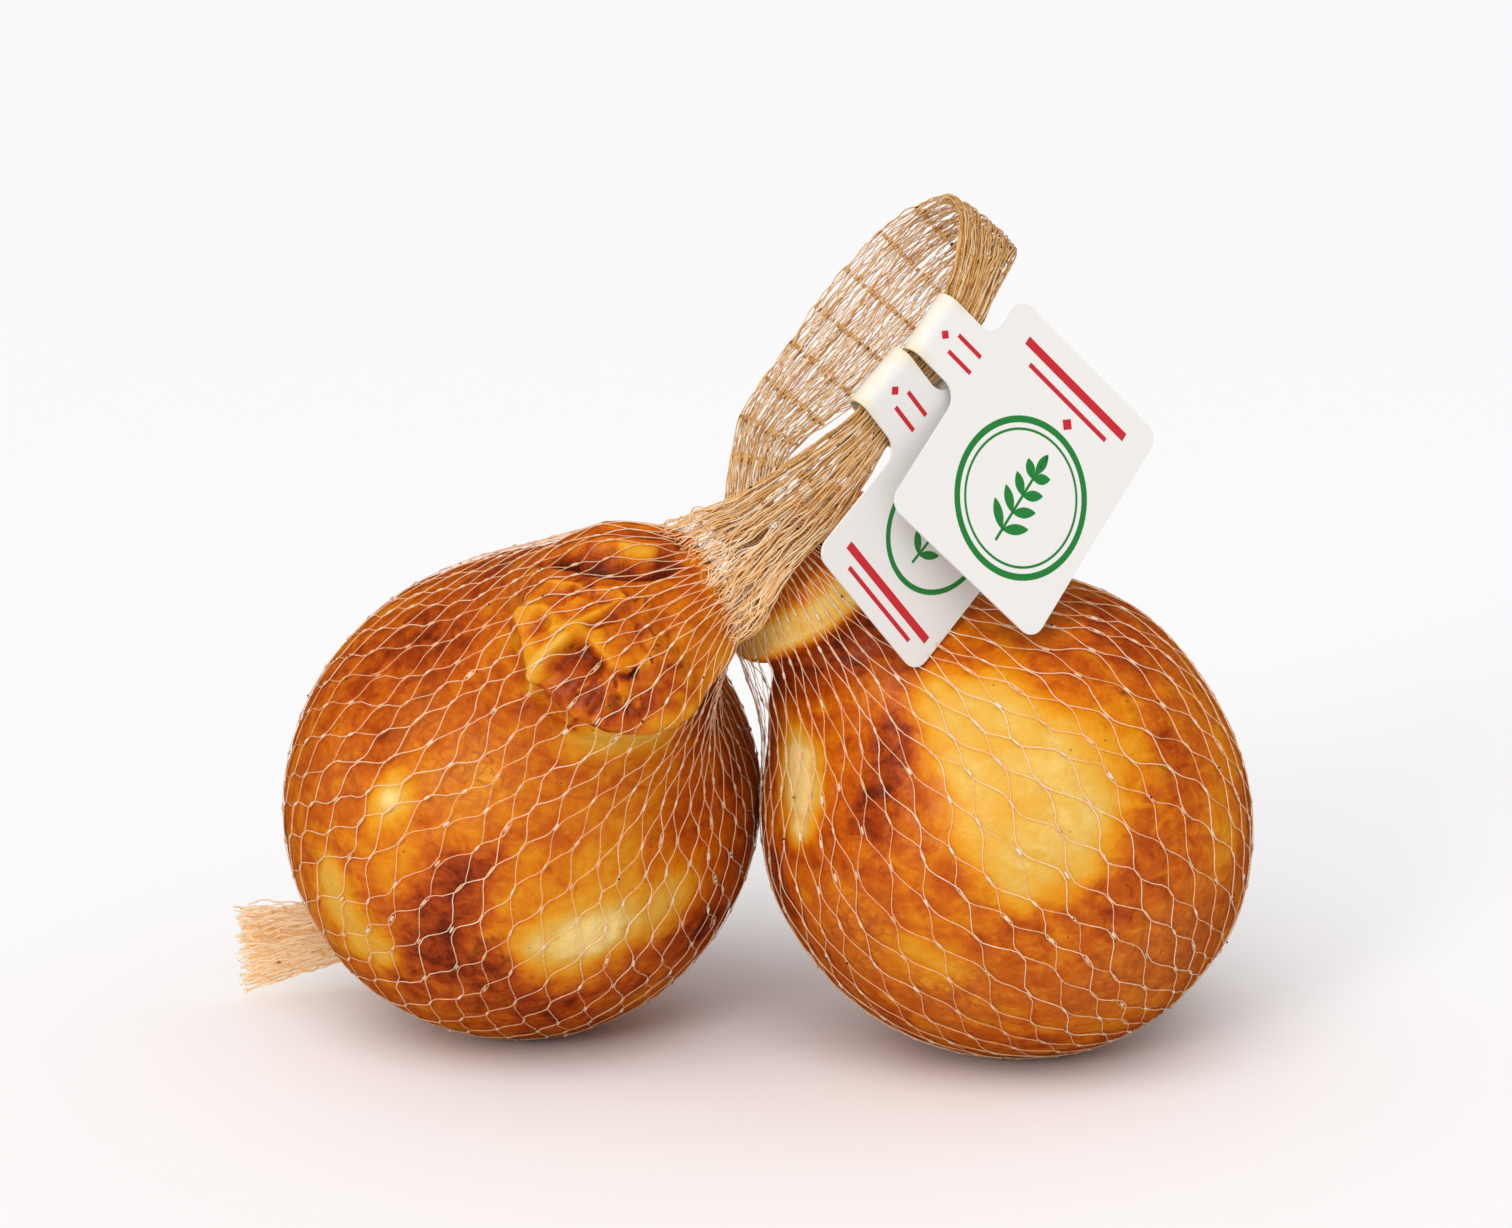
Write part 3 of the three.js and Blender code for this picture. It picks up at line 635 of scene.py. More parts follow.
def net_guides(cheese, piece, net):
    """Lines from the tail to the gather at even angles round the cheese, at even shares of their length."""
    right, up, outward = cheese_axes(cheese)
    centre = np.array(cheese["centre"])
    pull = unit(np.array(net["gather"]) - centre)
    lean = math.acos(np.clip(pull @ outward, -1, 1))
    tree = BVHTree.FromObject(piece, bpy.context.evaluated_depsgraph_get())

    def rind_distance(way):
        hit = tree.ray_cast(tuple((centre + RAY_START * way) * MM), tuple(-way))[0]
        return np.linalg.norm(np.array(hit) / MM - centre)

    angles = 2 * np.pi * np.arange(GUIDES) / GUIDES
    polar = np.linspace(TAIL_OPENING, np.pi - net["opening"], GUIDE_STEPS)
    flat = np.outer(np.cos(angles), right) + np.outer(np.sin(angles), up)
    radius = np.empty((GUIDES, GUIDE_STEPS))
    directions = np.empty((GUIDES, GUIDE_STEPS, 3))
    for step, tilt in enumerate(polar):
        share = smoothstep(tilt, np.pi / 2, np.pi)
        ways = -math.cos(tilt) * outward + math.sin(tilt) * flat
        ways = ways @ turn_towards(outward, pull, lean * share).T
        directions[:, step] = ways
        radius[:, step] = [rind_distance(way) for way in ways]
    kernel = np.exp(-0.5 * (np.arange(-3 * BRIDGE_STEPS, 3 * BRIDGE_STEPS + 1) / BRIDGE_STEPS) ** 2)
    kernel /= kernel.sum()
    for _ in range(BRIDGE_ROUNDS):
        padded = np.pad(radius, ((0, 0), (3 * BRIDGE_STEPS, 3 * BRIDGE_STEPS)), mode="edge")
        slack = np.stack([np.convolve(row, kernel, "valid") for row in padded])
        radius = np.maximum(radius, slack)
    lines = centre + (radius + NET_LIFT)[..., None] * directions

    walked = walked_lengths(lines)
    tail_ring = np.array(net["tail"]) + TAIL_RING * flat
    to_tail = 1 - smoothstep(walked, 0, LEAD)
    lines += to_tail[..., None] * (tail_ring[:, None] - lines)
    spread = angles - net["upper"]
    wide, face = unit(net["wide"]), unit(net["face"])
    gather_ring = np.array(net["gather"]) - np.outer(np.cos(spread), wide) * net["half"][0]
    gather_ring += np.outer(np.sin(spread), face) * net["half"][1]
    to_gather = smoothstep(walked - walked[:, -1:], -LEAD, 0)
    lines += to_gather[..., None] * (gather_ring[:, None] - lines)
    for guide, step in np.ndindex(GUIDES, GUIDE_STEPS):
        way = lines[guide, step] - centre
        distance = np.linalg.norm(way)
        way = way / distance
        lines[guide, step] = centre + max(distance, rind_distance(way) + NET_LIFT) * way
    lines[..., 2] = np.maximum(lines[..., 2], FLOOR_GAP)

    walked = walked_lengths(lines)
    even = np.linspace(0, 1, GUIDE_STEPS)
    shares = walked / walked[:, -1:]
    spaced = np.empty_like(lines)
    for guide, axis in np.ndindex(GUIDES, 3):
        spaced[guide, :, axis] = np.interp(even, shares[guide], lines[guide, :, axis])
    return spaced


def on_guides(guides, turn, share):
    """Places on the net at turns round it, in guides, and shares of its length."""
    column = turn % GUIDES
    step = np.clip(share, 0, 1) * (GUIDE_STEPS - 1)
    low_column = np.floor(column).astype(int)
    low_step = np.minimum(np.floor(step).astype(int), GUIDE_STEPS - 2)
    across, on = (column - low_column)[..., None], (step - low_step)[..., None]
    next_column = (low_column + 1) % GUIDES
    low_column = low_column % GUIDES
    near = guides[low_column, low_step] * (1 - on) + guides[low_column, low_step + 1] * on
    far = guides[next_column, low_step] * (1 - on) + guides[next_column, low_step + 1] * on
    return near * (1 - across) + far * across


def strand_arrays(paths, radii, facing):
    """Points and faces of closed thin tubes along paths of equal length."""
    count, steps = paths.shape[:2]
    along = unit(np.gradient(paths, axis=1))
    side = unit(np.cross(along, facing))
    out = np.cross(side, along)
    angles = 2 * np.pi * np.arange(STRAND_SIDES) / STRAND_SIDES
    circle = np.cos(angles)[:, None] * side[:, :, None] + np.sin(angles)[:, None] * out[:, :, None]
    rings = paths[:, :, None] + radii[:, :, None, None] * circle
    points = np.concatenate([rings.reshape(-1, 3), paths[:, 0], paths[:, -1]])
    corner = np.arange(count * steps * STRAND_SIDES).reshape(count, steps, STRAND_SIDES)
    beside = np.roll(corner, -1, axis=2)
    quads = np.stack([corner[:, :-1], corner[:, 1:], beside[:, 1:], beside[:, :-1]], -1).reshape(-1, 4)
    first = count * steps * STRAND_SIDES + np.arange(count)
    starts = np.broadcast_to(first[:, None], (count, STRAND_SIDES))
    ends = starts + count
    start_caps = np.stack([starts, corner[:, 0], beside[:, 0]], -1)
    end_caps = np.stack([ends, beside[:, -1], corner[:, -1]], -1)
    return points, quads, np.concatenate([start_caps, end_caps]).reshape(-1, 3)


def tint_strands(tints, end_tint):
    """Tints for the points of strands, from one for each step and one for the middles of their ends."""
    return np.append(np.repeat(tints.ravel(), STRAND_SIDES), np.full(2 * len(tints), end_tint))


def knot_pairs(rows, row_steps, strands):
    """The two strands that each knot joins, and its step along them. The pairs change from row to row."""
    firsts = [np.arange(row % 2, strands, 2) for row in rows]
    steps = [np.full(len(first), row * row_steps) for row, first in zip(rows, firsts)]
    first = np.concatenate(firsts)
    return first, (first + 1) % strands, np.concatenate(steps)


def knot_arrays(places, along, facing, half_length, half_width):
    """Points and faces of small closed beads, long in the direction of their strands."""
    side = unit(np.cross(along, facing))
    out = np.cross(side, along)
    angles = 2 * np.pi * np.arange(KNOT_SEGMENTS) / KNOT_SEGMENTS
    heights = np.linspace(-1, 1, KNOT_RINGS + 2)[1:-1]
    widths = np.sqrt(1 - heights**2)
    circle = np.cos(angles)[:, None] * side[:, None] + np.sin(angles)[:, None] * out[:, None]
    bands = [
        places[:, None] + h * half_length * along[:, None] + w * half_width[:, None, None] * circle
        for h, w in zip(heights, widths)
    ]
    tips = [(places - half_length * along)[:, None], (places + half_length * along)[:, None]]
    points = np.concatenate([*bands, *tips], 1).reshape(-1, 3)
    ring = np.arange(KNOT_SEGMENTS)
    beside = (ring + 1) % KNOT_SEGMENTS
    top = (KNOT_RINGS - 1) * KNOT_SEGMENTS
    quads = []
    for low in range(0, top, KNOT_SEGMENTS):
        high = low + KNOT_SEGMENTS
        quads.append(np.stack([ring + low, ring + high, beside + high, beside + low], -1))
    tris = [
        np.stack([np.full(KNOT_SEGMENTS, KNOT_POINTS - 2), ring, beside], -1),
        np.stack([np.full(KNOT_SEGMENTS, KNOT_POINTS - 1), beside + top, ring + top], -1),
    ]
    shift = KNOT_POINTS * np.arange(len(places))[:, None, None]
    quads = (np.concatenate(quads)[None] + shift).reshape(-1, 4)
    tris = (np.concatenate(tris)[None] + shift).reshape(-1, 3)
    return points, quads, tris


def linked(name, data):
    """A new object in the scene, for a mesh, a light or a camera."""
    piece = bpy.data.objects.new(name, data)
    bpy.context.scene.collection.objects.link(piece)
    return piece


def mesh_piece(name, parts, tints, material):
    """One piece from several sets of points and faces in mm, with the tint of each point."""
    points, quads, tris, offset = [], [], [], 0
    for part_points, part_quads, part_tris in parts:
        points.append(part_points)
        quads.append(part_quads + offset)
        tris.append(part_tris + offset)
        offset += len(part_points)
    points, quads, tris = np.concatenate(points), np.concatenate(quads), np.concatenate(tris)
    points[:, 2] = np.maximum(points[:, 2], 0)
    mesh = bpy.data.meshes.new(name)
    mesh.vertices.add(len(points))
    mesh.vertices.foreach_set("co", (points * MM).ravel())
    mesh.loops.add(quads.size + tris.size)
    mesh.loops.foreach_set("vertex_index", np.concatenate([quads.ravel(), tris.ravel()]).astype(np.int32))
    starts = np.concatenate([4 * np.arange(len(quads)), quads.size + 3 * np.arange(len(tris))])
    mesh.polygons.add(len(starts))
    mesh.polygons.foreach_set("loop_start", starts.astype(np.int32))
    paint(mesh, "tint", np.concatenate(tints))
    mesh.update(calc_edges=True)
    mesh.validate()
    mesh.shade_smooth()
    mesh.materials.append(material)
    return linked(name, mesh)


def smoke_stain():
    """Small stains from the smoke that vary the tint of every kind of strand, as a group of nodes."""
    group = bpy.data.node_groups.new("smoke_stain", "ShaderNodeTree")
    group.interface.new_socket("Place", in_out="INPUT", socket_type="NodeSocketVector")
    group.interface.new_socket("Tint", in_out="INPUT", socket_type="NodeSocketFloat")
    group.interface.new_socket("Stained Tint", in_out="OUTPUT", socket_type="NodeSocketFloat")
    nodes, links = group.nodes, group.links
    given = nodes.new("NodeGroupInput")
    spots = nodes.new("ShaderNodeTexNoise")
    spots.inputs["Scale"].default_value = 1 / (2.4 * MM)
    links.new(given.outputs["Place"], spots.inputs["Vector"])
    stained = nodes.new("ShaderNodeMath")
    stained.operation = "MULTIPLY_ADD"
    stained.inputs[1].default_value = 0.6
    links.new(spots.outputs["Fac"], stained.inputs[0])
    links.new(given.outputs["Tint"], stained.inputs[2])
    result = nodes.new("NodeGroupOutput")
    links.new(stained.outputs[0], result.inputs["Stained Tint"])
    return group


def net_plastic(name, stops, roughness, stain_group):
    """Clear plastic strand: tint and clearness from the mesh, with small stains from the smoke."""
    material, shader = new_material(name)
    nodes, links = material.node_tree.nodes, material.node_tree.links
    stain = nodes.new("ShaderNodeGroup")
    stain.node_tree = stain_group
    links.new(nodes.new("ShaderNodeTexCoord").outputs["Object"], stain.inputs["Place"])
    links.new(painted(nodes, "tint"), stain.inputs["Tint"])
    ramp = colour_ramp(nodes, stops)
    links.new(stain.outputs["Stained Tint"], ramp.inputs["Fac"])
    links.new(ramp.outputs["Color"], shader.inputs["Base Color"])
    links.new(ramp.outputs["Alpha"], shader.inputs["Alpha"])
    shader.inputs["Roughness"].default_value = roughness
    return material


def add_net(cheese, piece, net, material, random):
    """The strands and knots over one cheese as one piece. Gives the paths of the strands."""
    guides = net_guides(cheese, piece, net)
    rows = net["rows"]
    share = np.linspace(0, 1, rows * ROW_STEPS + 1)
    number = np.arange(STRANDS)[:, None]
    swing = np.clip(PAIR_HOLD * np.cos(np.pi * share * rows), -1, 1) * (0.5 - PAIR_GAP)
    turn = 2 * (number + np.where(number % 2 == 0, 1, -1) * swing)
    rounds = 2 * np.pi * np.arange(STRANDS) / STRANDS
    drift = [[noise.noise((4 * math.cos(t), 4 * math.sin(t), 9 * s)) for s in share] for t in rounds]
    shift = [[noise.noise((5 * math.cos(t) + 9, 5 * math.sin(t), 8 * s)) for s in share] for t in rounds]
    drift, shift = np.array(drift), np.array(shift)
    calm = smoothstep(share, 0, 0.08) * smoothstep(share, 1, 0.92)
    quiver = random.normal(0, 1, (STRANDS, len(share))) * (1 - np.cos(np.pi * share * rows) ** 4)
    turn = turn + (NET_DRIFT * drift + NET_QUIVER * quiver) * calm
    paths = on_guides(guides, turn, share + NET_SLIP * shift * calm)
    facing = unit(paths - np.array(cheese["centre"]))
    thicker = 1 + 0.3 * np.cos(np.pi * share * rows) ** 8
    radii = np.broadcast_to(STRAND_RADIUS * thicker, paths.shape[:2])
    parts = [strand_arrays(paths, radii, facing)]
    tint = np.broadcast_to(random.uniform(0.28, 0.6, (STRANDS, 1)), paths.shape[:2])
    tints = [tint_strands(tint, 0.5)]

    first, second, step = knot_pairs(range(2, rows - 1), ROW_STEPS, STRANDS)
    places = (paths[first, step] + paths[second, step]) / 2
    lines = unit(paths[first, step + 1] - paths[first, step - 1])
    faces = facing[first, step]
    widths = random.uniform(0.26, 0.4, len(places))
    parts.append(knot_arrays(places + KNOT_LIFT * faces, lines, faces, KNOT_HALF, widths))
    tints.append(np.repeat(random.uniform(0.3, 0.7, len(places)), KNOT_POINTS))
    stained = random.random(len(places)) < TAR_SHARE
    tar = places[stained] + TAR_LIFT * faces[stained] + random.normal(0, 0.15, (stained.sum(), 3))
    tar_widths = random.uniform(0.2, 0.34, len(tar))
    parts.append(knot_arrays(tar, lines[stained], faces[stained], TAR_HALF, tar_widths))
    tints.append(np.full(len(tar) * KNOT_POINTS, TAR_TINT))
    skin = mesh_piece(net["name"], parts, tints, material)
    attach(skin, "root")
    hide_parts(cheese["node"])
    return paths


def press_net(piece, paths):
    """Sinks the rind a little along the strands that lie on it, and marks dark lines a small shift from them.
    """
    mesh = piece.data
    points = mesh_points(mesh)
    normals = mesh_points(mesh, "normal")
    strands = paths.reshape(-1, 3) * MM
    tree = KDTree(len(strands))
    for index, place in enumerate(strands):
        tree.insert(place, index)
    tree.balance()
    distance = np.array([tree.find(p)[2] for p in points]) / MM
    before = np.array([tree.find(p)[2] for p in points + np.array(NET_SHIFT) * MM]) / MM
    paint(mesh, "pressed", np.exp(-((before / PRESS_MARK) ** 2)))
    points -= (PRESS_DEPTH * MM * np.exp(-((distance / PRESS_REACH) ** 2)))[:, None] * normals
    points[:, 2] = np.maximum(points[:, 2], 0)
    mesh.vertices.foreach_set("co", points.ravel())
    mesh.update()


net_random = np.random.default_rng(11)
clear_stops = [
    (0.0, (0.04, 0.012, 0.003, 1)),
    (0.25, (0.60, 0.26, 0.09, 0.55)),
    (0.5, (0.97, 0.56, 0.28, 0.3)),
    (0.75, (1.0, 0.68, 0.42, 0.46)),
    (1.0, (1.0, 0.86, 0.68, 0.64)),
]
stained_tint = smoke_stain()
clear_net = net_plastic("net_over_cheese", clear_stops, 0.18, stained_tint)
left_paths = add_net(LEFT_CHEESE, left_cheese, LEFT_NET, clear_net, net_random)
right_paths = add_net(RIGHT_CHEESE, right_cheese, RIGHT_NET, clear_net, net_random)
press_net(left_cheese, left_paths)
press_net(right_cheese, right_paths)


# The carrying loop. Between the two cheeses the empty tube is drawn flat, folded over and tied in behind
# itself, so its strands lie close in two layers and the knots line up in rows across it.
# Each station is a place on its middle, the direction of its width, and its width and thickness in mm.
LOOP_STATIONS = [
    ((-11.4, -36.0, 117.6), (0.62, -0.21, -0.75), 29, 10),
    ((-2.9, -40.9, 126.6), (0.62, -0.21, -0.75), 32, 12),
    ((7.9, -43.8, 136.6), (0.6, -0.07, -0.8), 22, 7),
    ((18.3, -45.9, 145.9), (0.59, 0.03, -0.81), 19, 5),
    ((26.5, -48.4, 154.6), (0.58, 0.2, -0.79), 15.5, 4),
    ((33.5, -48.4, 162.4), (0.547, 0.407, -0.731), 12.5, 3.4),
    ((40.0, -43.7, 171.2), (0.547, 0.407, -0.731), 11.4, 3.2),
    ((51.9, -35.5, 182.6), (0.659, 0.297, -0.691), 11.4, 3.2),
    ((58.8, -25.7, 196.9), (0.68, 0.28, -0.68), 14.5, 3.6),
    ((60.3, -5.7, 205.2), (0.75, 0.25, -0.615), 22, 4),
    ((45.7, 6.2, 193.4), (0.8, 0.0, -0.58), 24, 3.4),
    ((26.3, -0.4, 172.3), (0.82, -0.12, -0.56), 23, 3.2),
    ((11.8, -13.5, 158.8), (0.88, -0.12, -0.46), 16.5, 3.6),
    ((7.2, -25.3, 151.1), (0.95, -0.1, -0.3), 12.5, 4.4),
    ((5.1, -34.4, 142.0), (0.9, -0.1, -0.4), 11, 5),
    ((2.1, -39.3, 133.4), (0.8, -0.1, -0.6), 12, 6),
]
LOOP_STRANDS = 88
LOOP_ROWS = 22
LOOP_STRAND_RADIUS = 0.16
LOOP_ROW_STEPS = 8
LOOP_PAIR_HOLD = 1.3
LOOP_KNOT_HALF = 0.7
STATION_STEPS = 60  # for measuring the length from station to station


def through(values, shares):
    """A smooth curve through values at even shares of its length."""
    values = np.asarray(values, float)
    padded = np.concatenate([[2 * values[0] - values[1]], values, [2 * values[-1] - values[-2]]])
    place = np.clip(shares, 0, 1) * (len(values) - 1)
    low = np.minimum(place.astype(int), len(values) - 2)
    t = (place - low)[:, None]
    a, b, c, d = (padded[low + i] for i in range(4))
    return 0.5 * (2 * b + (c - a) * t + (2 * a - 5 * b + 4 * c - d) * t**2 + (3 * b - a - 3 * c + d) * t**3)


def strip(stations, steps):
    """Middles, directions across, along and through a strip of net, and half its sizes, at even lengths."""
    fine = np.linspace(0, 1, STATION_STEPS * len(stations))
    line = through([s[0] for s in stations], fine)
    walked = walked_lengths(line[None])[0]
    shares = np.interp(np.linspace(0, walked[-1], steps), walked, fine)
    middle = through([s[0] for s in stations], shares)
    along = unit(np.gradient(middle, axis=0))
    wide = through([unit(s[1]) for s in stations], shares)
    wide = unit(wide - (wide * along).sum(1, keepdims=True) * along)
    sizes = through([(s[2] / 2, s[3] / 2) for s in stations], shares)
    return middle, wide, along, np.cross(wide, along), sizes


def ripples(numbers, places, apart, rate, level):
    """Smooth noise from about -1 to 1 for numbered strands at places along them."""
    return np.array([[noise.noise((apart * n, rate * p, level)) for p in places] for n in numbers])


loop_steps = LOOP_ROWS * LOOP_ROW_STEPS + 1
middle, wide, along, thick, sizes = strip(LOOP_STATIONS, loop_steps)
loop_random = np.random.default_rng(23)
strand = np.arange(LOOP_STRANDS)
rounds = strand / LOOP_STRANDS
across = np.where(rounds < 0.5, 4 * rounds - 1, 3 - 4 * rounds) + 2 / LOOP_STRANDS
layer = np.where(rounds < 0.5, 1, -1)
row_place = np.linspace(0, LOOP_ROWS, loop_steps)
swing = np.clip(LOOP_PAIR_HOLD * np.cos(np.pi * row_place), -1, 1) * 0.5 * 4 / LOOP_STRANDS
wander = ripples(strand, row_place, 3.1, 0.9, 2.0)
bunch = np.array([[noise.noise((7 * a, 0.5 * r, 4.0 * b)) for r in row_place] for a, b in zip(across, layer)])
rise = ripples(strand, row_place, 2.7, 0.8, 7.0)
zigzag = np.where(strand % 2 == 0, 1, -1)[:, None] * swing
curl = ripples(strand, row_place, 5.3, 2.6, 5.0)
spread = across[:, None] + zigzag + 0.05 * wander + 0.075 * curl + 0.12 * bunch
spread = np.clip(spread, -1.04, 1.04)
depth = layer[:, None] * (0.55 + 0.45 * rise) * np.sqrt(np.clip(1.08 - spread**2, 0.02, 1))
paths = (
    middle[None]
    + (spread * sizes[:, 0])[..., None] * wide[None]
    + (depth * (sizes[:, 1] - LOOP_STRAND_RADIUS))[..., None] * thick[None]
)
facing = np.broadcast_to(thick[None], paths.shape) * layer[:, None, None]
full = np.interp(row_place, [0, 11, 14], [1.3, 1.3, 0.9])
radii = LOOP_STRAND_RADIUS * full * (1 + 0.25 * np.cos(np.pi * row_place) ** 8)
radii = radii * loop_random.uniform(0.8, 1.2, (LOOP_STRANDS, 1)) * np.interp(row_place, [0, 1.2], [0.4, 1])
parts = [strand_arrays(paths, radii, facing)]
dense = np.interp(row_place, [0, 2, 5, 11, 14], [-2, -0.8, 0.8, 1, 0])
strand_tint = loop_random.uniform(0.15, 0.68, (LOOP_STRANDS, 1)) - 0.13 * dense + 0.1 * wander
tints = [tint_strands(strand_tint, 0.3)]
first, second, step = knot_pairs(range(1, LOOP_ROWS), LOOP_ROW_STEPS, LOOP_STRANDS)
knot_places = (paths[first, step] + paths[second, step]) / 2
knot_widths = loop_random.uniform(0.26, 0.42, len(knot_places))
parts.append(knot_arrays(knot_places, along[step], facing[first, step], LOOP_KNOT_HALF, knot_widths))
knot_tints = loop_random.choice([-0.4, 0.0, 0.15, 0.3], len(knot_places), p=[0.05, 0.25, 0.35, 0.35])
tints.append(np.repeat(knot_tints, KNOT_POINTS))
straw_stops = [
    (0.0, (0.06, 0.02, 0.004, 1)),
    (0.18, (0.38, 0.15, 0.03, 0.85)),
    (0.42, (0.72, 0.36, 0.10, 0.74)),
    (0.72, (0.88, 0.55, 0.24, 0.7)),
    (1.0, (0.98, 0.80, 0.55, 0.68)),
]
straw_net = net_plastic("net_gathered", straw_stops, 0.2, stained_tint)
loop = mesh_piece("net_carrying_loop", parts, tints, straw_net)
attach(loop, "root")
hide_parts("net_loop")


# The slack strands at the gather. Where the tube is drawn together over the knob its strands spring back in
# small curls and fill the gaps between the stretched ones.
GATHER_CURLS = 130
CURL_STEPS = 34


def between(values, places):
    """Values of an array at places between its rows."""
    low = np.clip(places.astype(int), 0, len(values) - 2)
    share = (places - low)[..., None]
    return values[low] * (1 - share) + values[low + 1] * share


curl_number = np.arange(GATHER_CURLS)
curl_share = np.linspace(0, 1, CURL_STEPS)
curl_start = loop_random.uniform(1, 7, GATHER_CURLS)
curl_reach = loop_random.uniform(8, 20, GATHER_CURLS)
curl_at = curl_start[:, None] + np.outer(curl_reach, curl_share)
sway = ripples(curl_number, curl_share, 6.1, 4.5, 2.5)
heave = ripples(curl_number, curl_share, 6.1, 4.5, 8.5)
curl_side = np.where(curl_number % 3 == 0, -1, 1)[:, None]
curl_size = between(sizes, curl_at)
curl_across = (loop_random.uniform(-0.98, 0.98, GATHER_CURLS)[:, None] + 0.16 * sway) * curl_size[..., 0]
curl_depth = curl_side * (0.85 + 0.35 * heave) * curl_size[..., 1]
curl_paths = between(middle, curl_at) + curl_across[..., None] * between(wide, curl_at)
curl_paths = curl_paths + curl_depth[..., None] * between(thick, curl_at)
curl_taper = np.interp(curl_share, [0, 0.3, 0.8, 1], [0.4, 1, 1, 0.4])
curl_radii = loop_random.uniform(0.11, 0.17, (GATHER_CURLS, 1)) * curl_taper
curl_tint = loop_random.uniform(0.2, 0.7, (GATHER_CURLS, 1)) + 0.2 * sway
curl_parts = [strand_arrays(curl_paths, curl_radii, curl_side[..., None] * between(thick, curl_at))]
curls = mesh_piece("net_gather_curls", curl_parts, [tint_strands(curl_tint, 0.4)], straw_net)
curls.visible_shadow = False  # light passes such thin clear strands
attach(curls, "root")
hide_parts("net_loop")


# The two tails. Where the tube ends behind each cheese its strands are bunched, and they spread like a
# brush to the end that the knife cut, with loose threads of uneven length.
LEFT_TAIL_STATIONS = [
    ((-70.0, 50.0, 21.0), (0.1, 0.2, 1), 9, 8),
    ((-86.0, 47.0, 17.6), (0.1, 0.2, 1), 12, 8.5),
    ((-105.0, 39.5, 15.0), (0.12, 0.1, 1), 17, 9),
    ((-127.0, 29.0, 13.9), (0.2, 0.1, 1), 24, 9.5),
]
RIGHT_TAIL_STATIONS = [
    ((101.0, 5.0, 13.0), (1, 0, 0.2), 9, 8),
    ((106.5, 21.0, 8.5), (1, -0.1, 0.1), 12, 8),
    ((106.0, 35.0, 7.5), (1, 0, 0), 16, 8),
    ((103.0, 52.0, 7.0), (1, 0.2, 0), 21, 8.5),
]
TAIL_STRANDS = 190
TAIL_STEPS = 34
TAIL_CUT = 4.5  # mm that the loose ends differ in length
TAIL_TURN = 2.399963  # radians from one strand to the next, which spreads them evenly over the bundle
TAIL_FLOOR_GAP = 0.3
TAIL_KNOTS = 150
TAIL_KNOT_HALF = 0.8


def add_tail(name, node, stations, random):
    """One tail, with its strands spread over the section of its strip."""
    middle, wide, along, thick, sizes = strip(stations, TAIL_STEPS)
    number = np.arange(TAIL_STRANDS)
    angle = TAIL_TURN * number
    ring = np.sqrt((number + 0.5) / TAIL_STRANDS)
    across, inwards = ring * np.cos(angle), ring * np.sin(angle)
    length = np.linalg.norm(np.diff(middle, axis=0), axis=1).sum()
    share = np.linspace(0, 1, TAIL_STEPS)
    waves = ripples(number, share, 4.3, 13, 1.5)
    heave = ripples(number, share, 4.3, 13, 6.5)
    reach = 1 - random.uniform(0, TAIL_CUT, TAIL_STRANDS) / length
    at = np.outer(reach, share) * (TAIL_STEPS - 1)
    size = between(sizes, at)
    across_way, inward_way = between(wide, at), between(thick, at)
    spread = (across[:, None] + 0.16 * waves) * size[..., 0]
    depth = (inwards[:, None] + 0.16 * heave) * size[..., 1]
    paths = between(middle, at) + spread[..., None] * across_way + depth[..., None] * inward_way
    paths[..., 2] = np.maximum(paths[..., 2], TAIL_FLOOR_GAP)
    facing = unit(spread[..., None] * across_way + (depth[..., None] + 0.2) * inward_way)
    radii = np.broadcast_to(random.uniform(0.18, 0.28, (TAIL_STRANDS, 1)), paths.shape[:2])
    parts = [strand_arrays(paths, radii, facing)]
    tint = random.uniform(0.36, 0.85, (TAIL_STRANDS, 1)) + 0.15 * waves
    tints = [tint_strands(tint, 0.4)]
    strand = random.integers(0, TAIL_STRANDS, TAIL_KNOTS)
    step = random.integers(6, TAIL_STEPS - 2, TAIL_KNOTS)
    lines = unit(paths[strand, step + 1] - paths[strand, step - 1])
    widths = random.uniform(0.4, 0.55, TAIL_KNOTS)
    parts.append(knot_arrays(paths[strand, step], lines, facing[strand, step], TAIL_KNOT_HALF, widths))
    tints.append(np.repeat(random.uniform(-0.1, 0.6, TAIL_KNOTS), KNOT_POINTS))
    tail = mesh_piece(name, parts, tints, straw_net)
    tail.visible_shadow = False  # as for the curls
    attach(tail, "root")
    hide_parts(node)


tail_random = np.random.default_rng(31)
add_tail("net_tail_left_brush", "net_tail_left", LEFT_TAIL_STATIONS, tail_random)
add_tail("net_tail_right_brush", "net_tail_right", RIGHT_TAIL_STATIONS, tail_random)


# The two tags. Each is stamped from coated white card with a band at its left edge, which is folded round
# the strap and glued to the back of the card. The print is green and red.
TAG_THICKNESS = 0.6
TAG_CORNER = 4
TAG_FILLET = 4.6
TAG_CARD_LEFT = 8.9
TAG_ABOVE = 18.5
BAND_HALF = 8.3
BAND_AT = -2.9  # from the strap's station to the middle of the band
BAND_MIDDLE = 2.9  # from the middle of the strap to the middle of the card's thickness
BAND_FOLD = -4.6
BAND_STRAIGHT = 10.6
BAND_GLUED = 5.4
BAND_STEP = 3.2  # mm across that the glued end takes up on its way to the card
CURL_RIGHT = 0.9  # mm that the card's right edge stands forward
CURL_BELOW = 0.5
TAG_GRID = 2.0
ARC_STEPS = 8
SMOOTH_ANGLE = math.radians(40)
TAGS = [
    {"name": "card_tag_front", "node": "tag_front", "station": 7, "width": 51.5, "below": 43.5},
    {"name": "card_tag_back", "node": "tag_back", "station": 6, "width": 43, "below": 43},
]


def arc(x, y, radius, start, end):
    """Points of a corner, from one angle to another in degrees."""
    angles = np.radians(np.linspace(start, end, ARC_STEPS + 1))
    return [(x + radius * math.cos(a), y + radius * math.sin(a)) for a in angles]


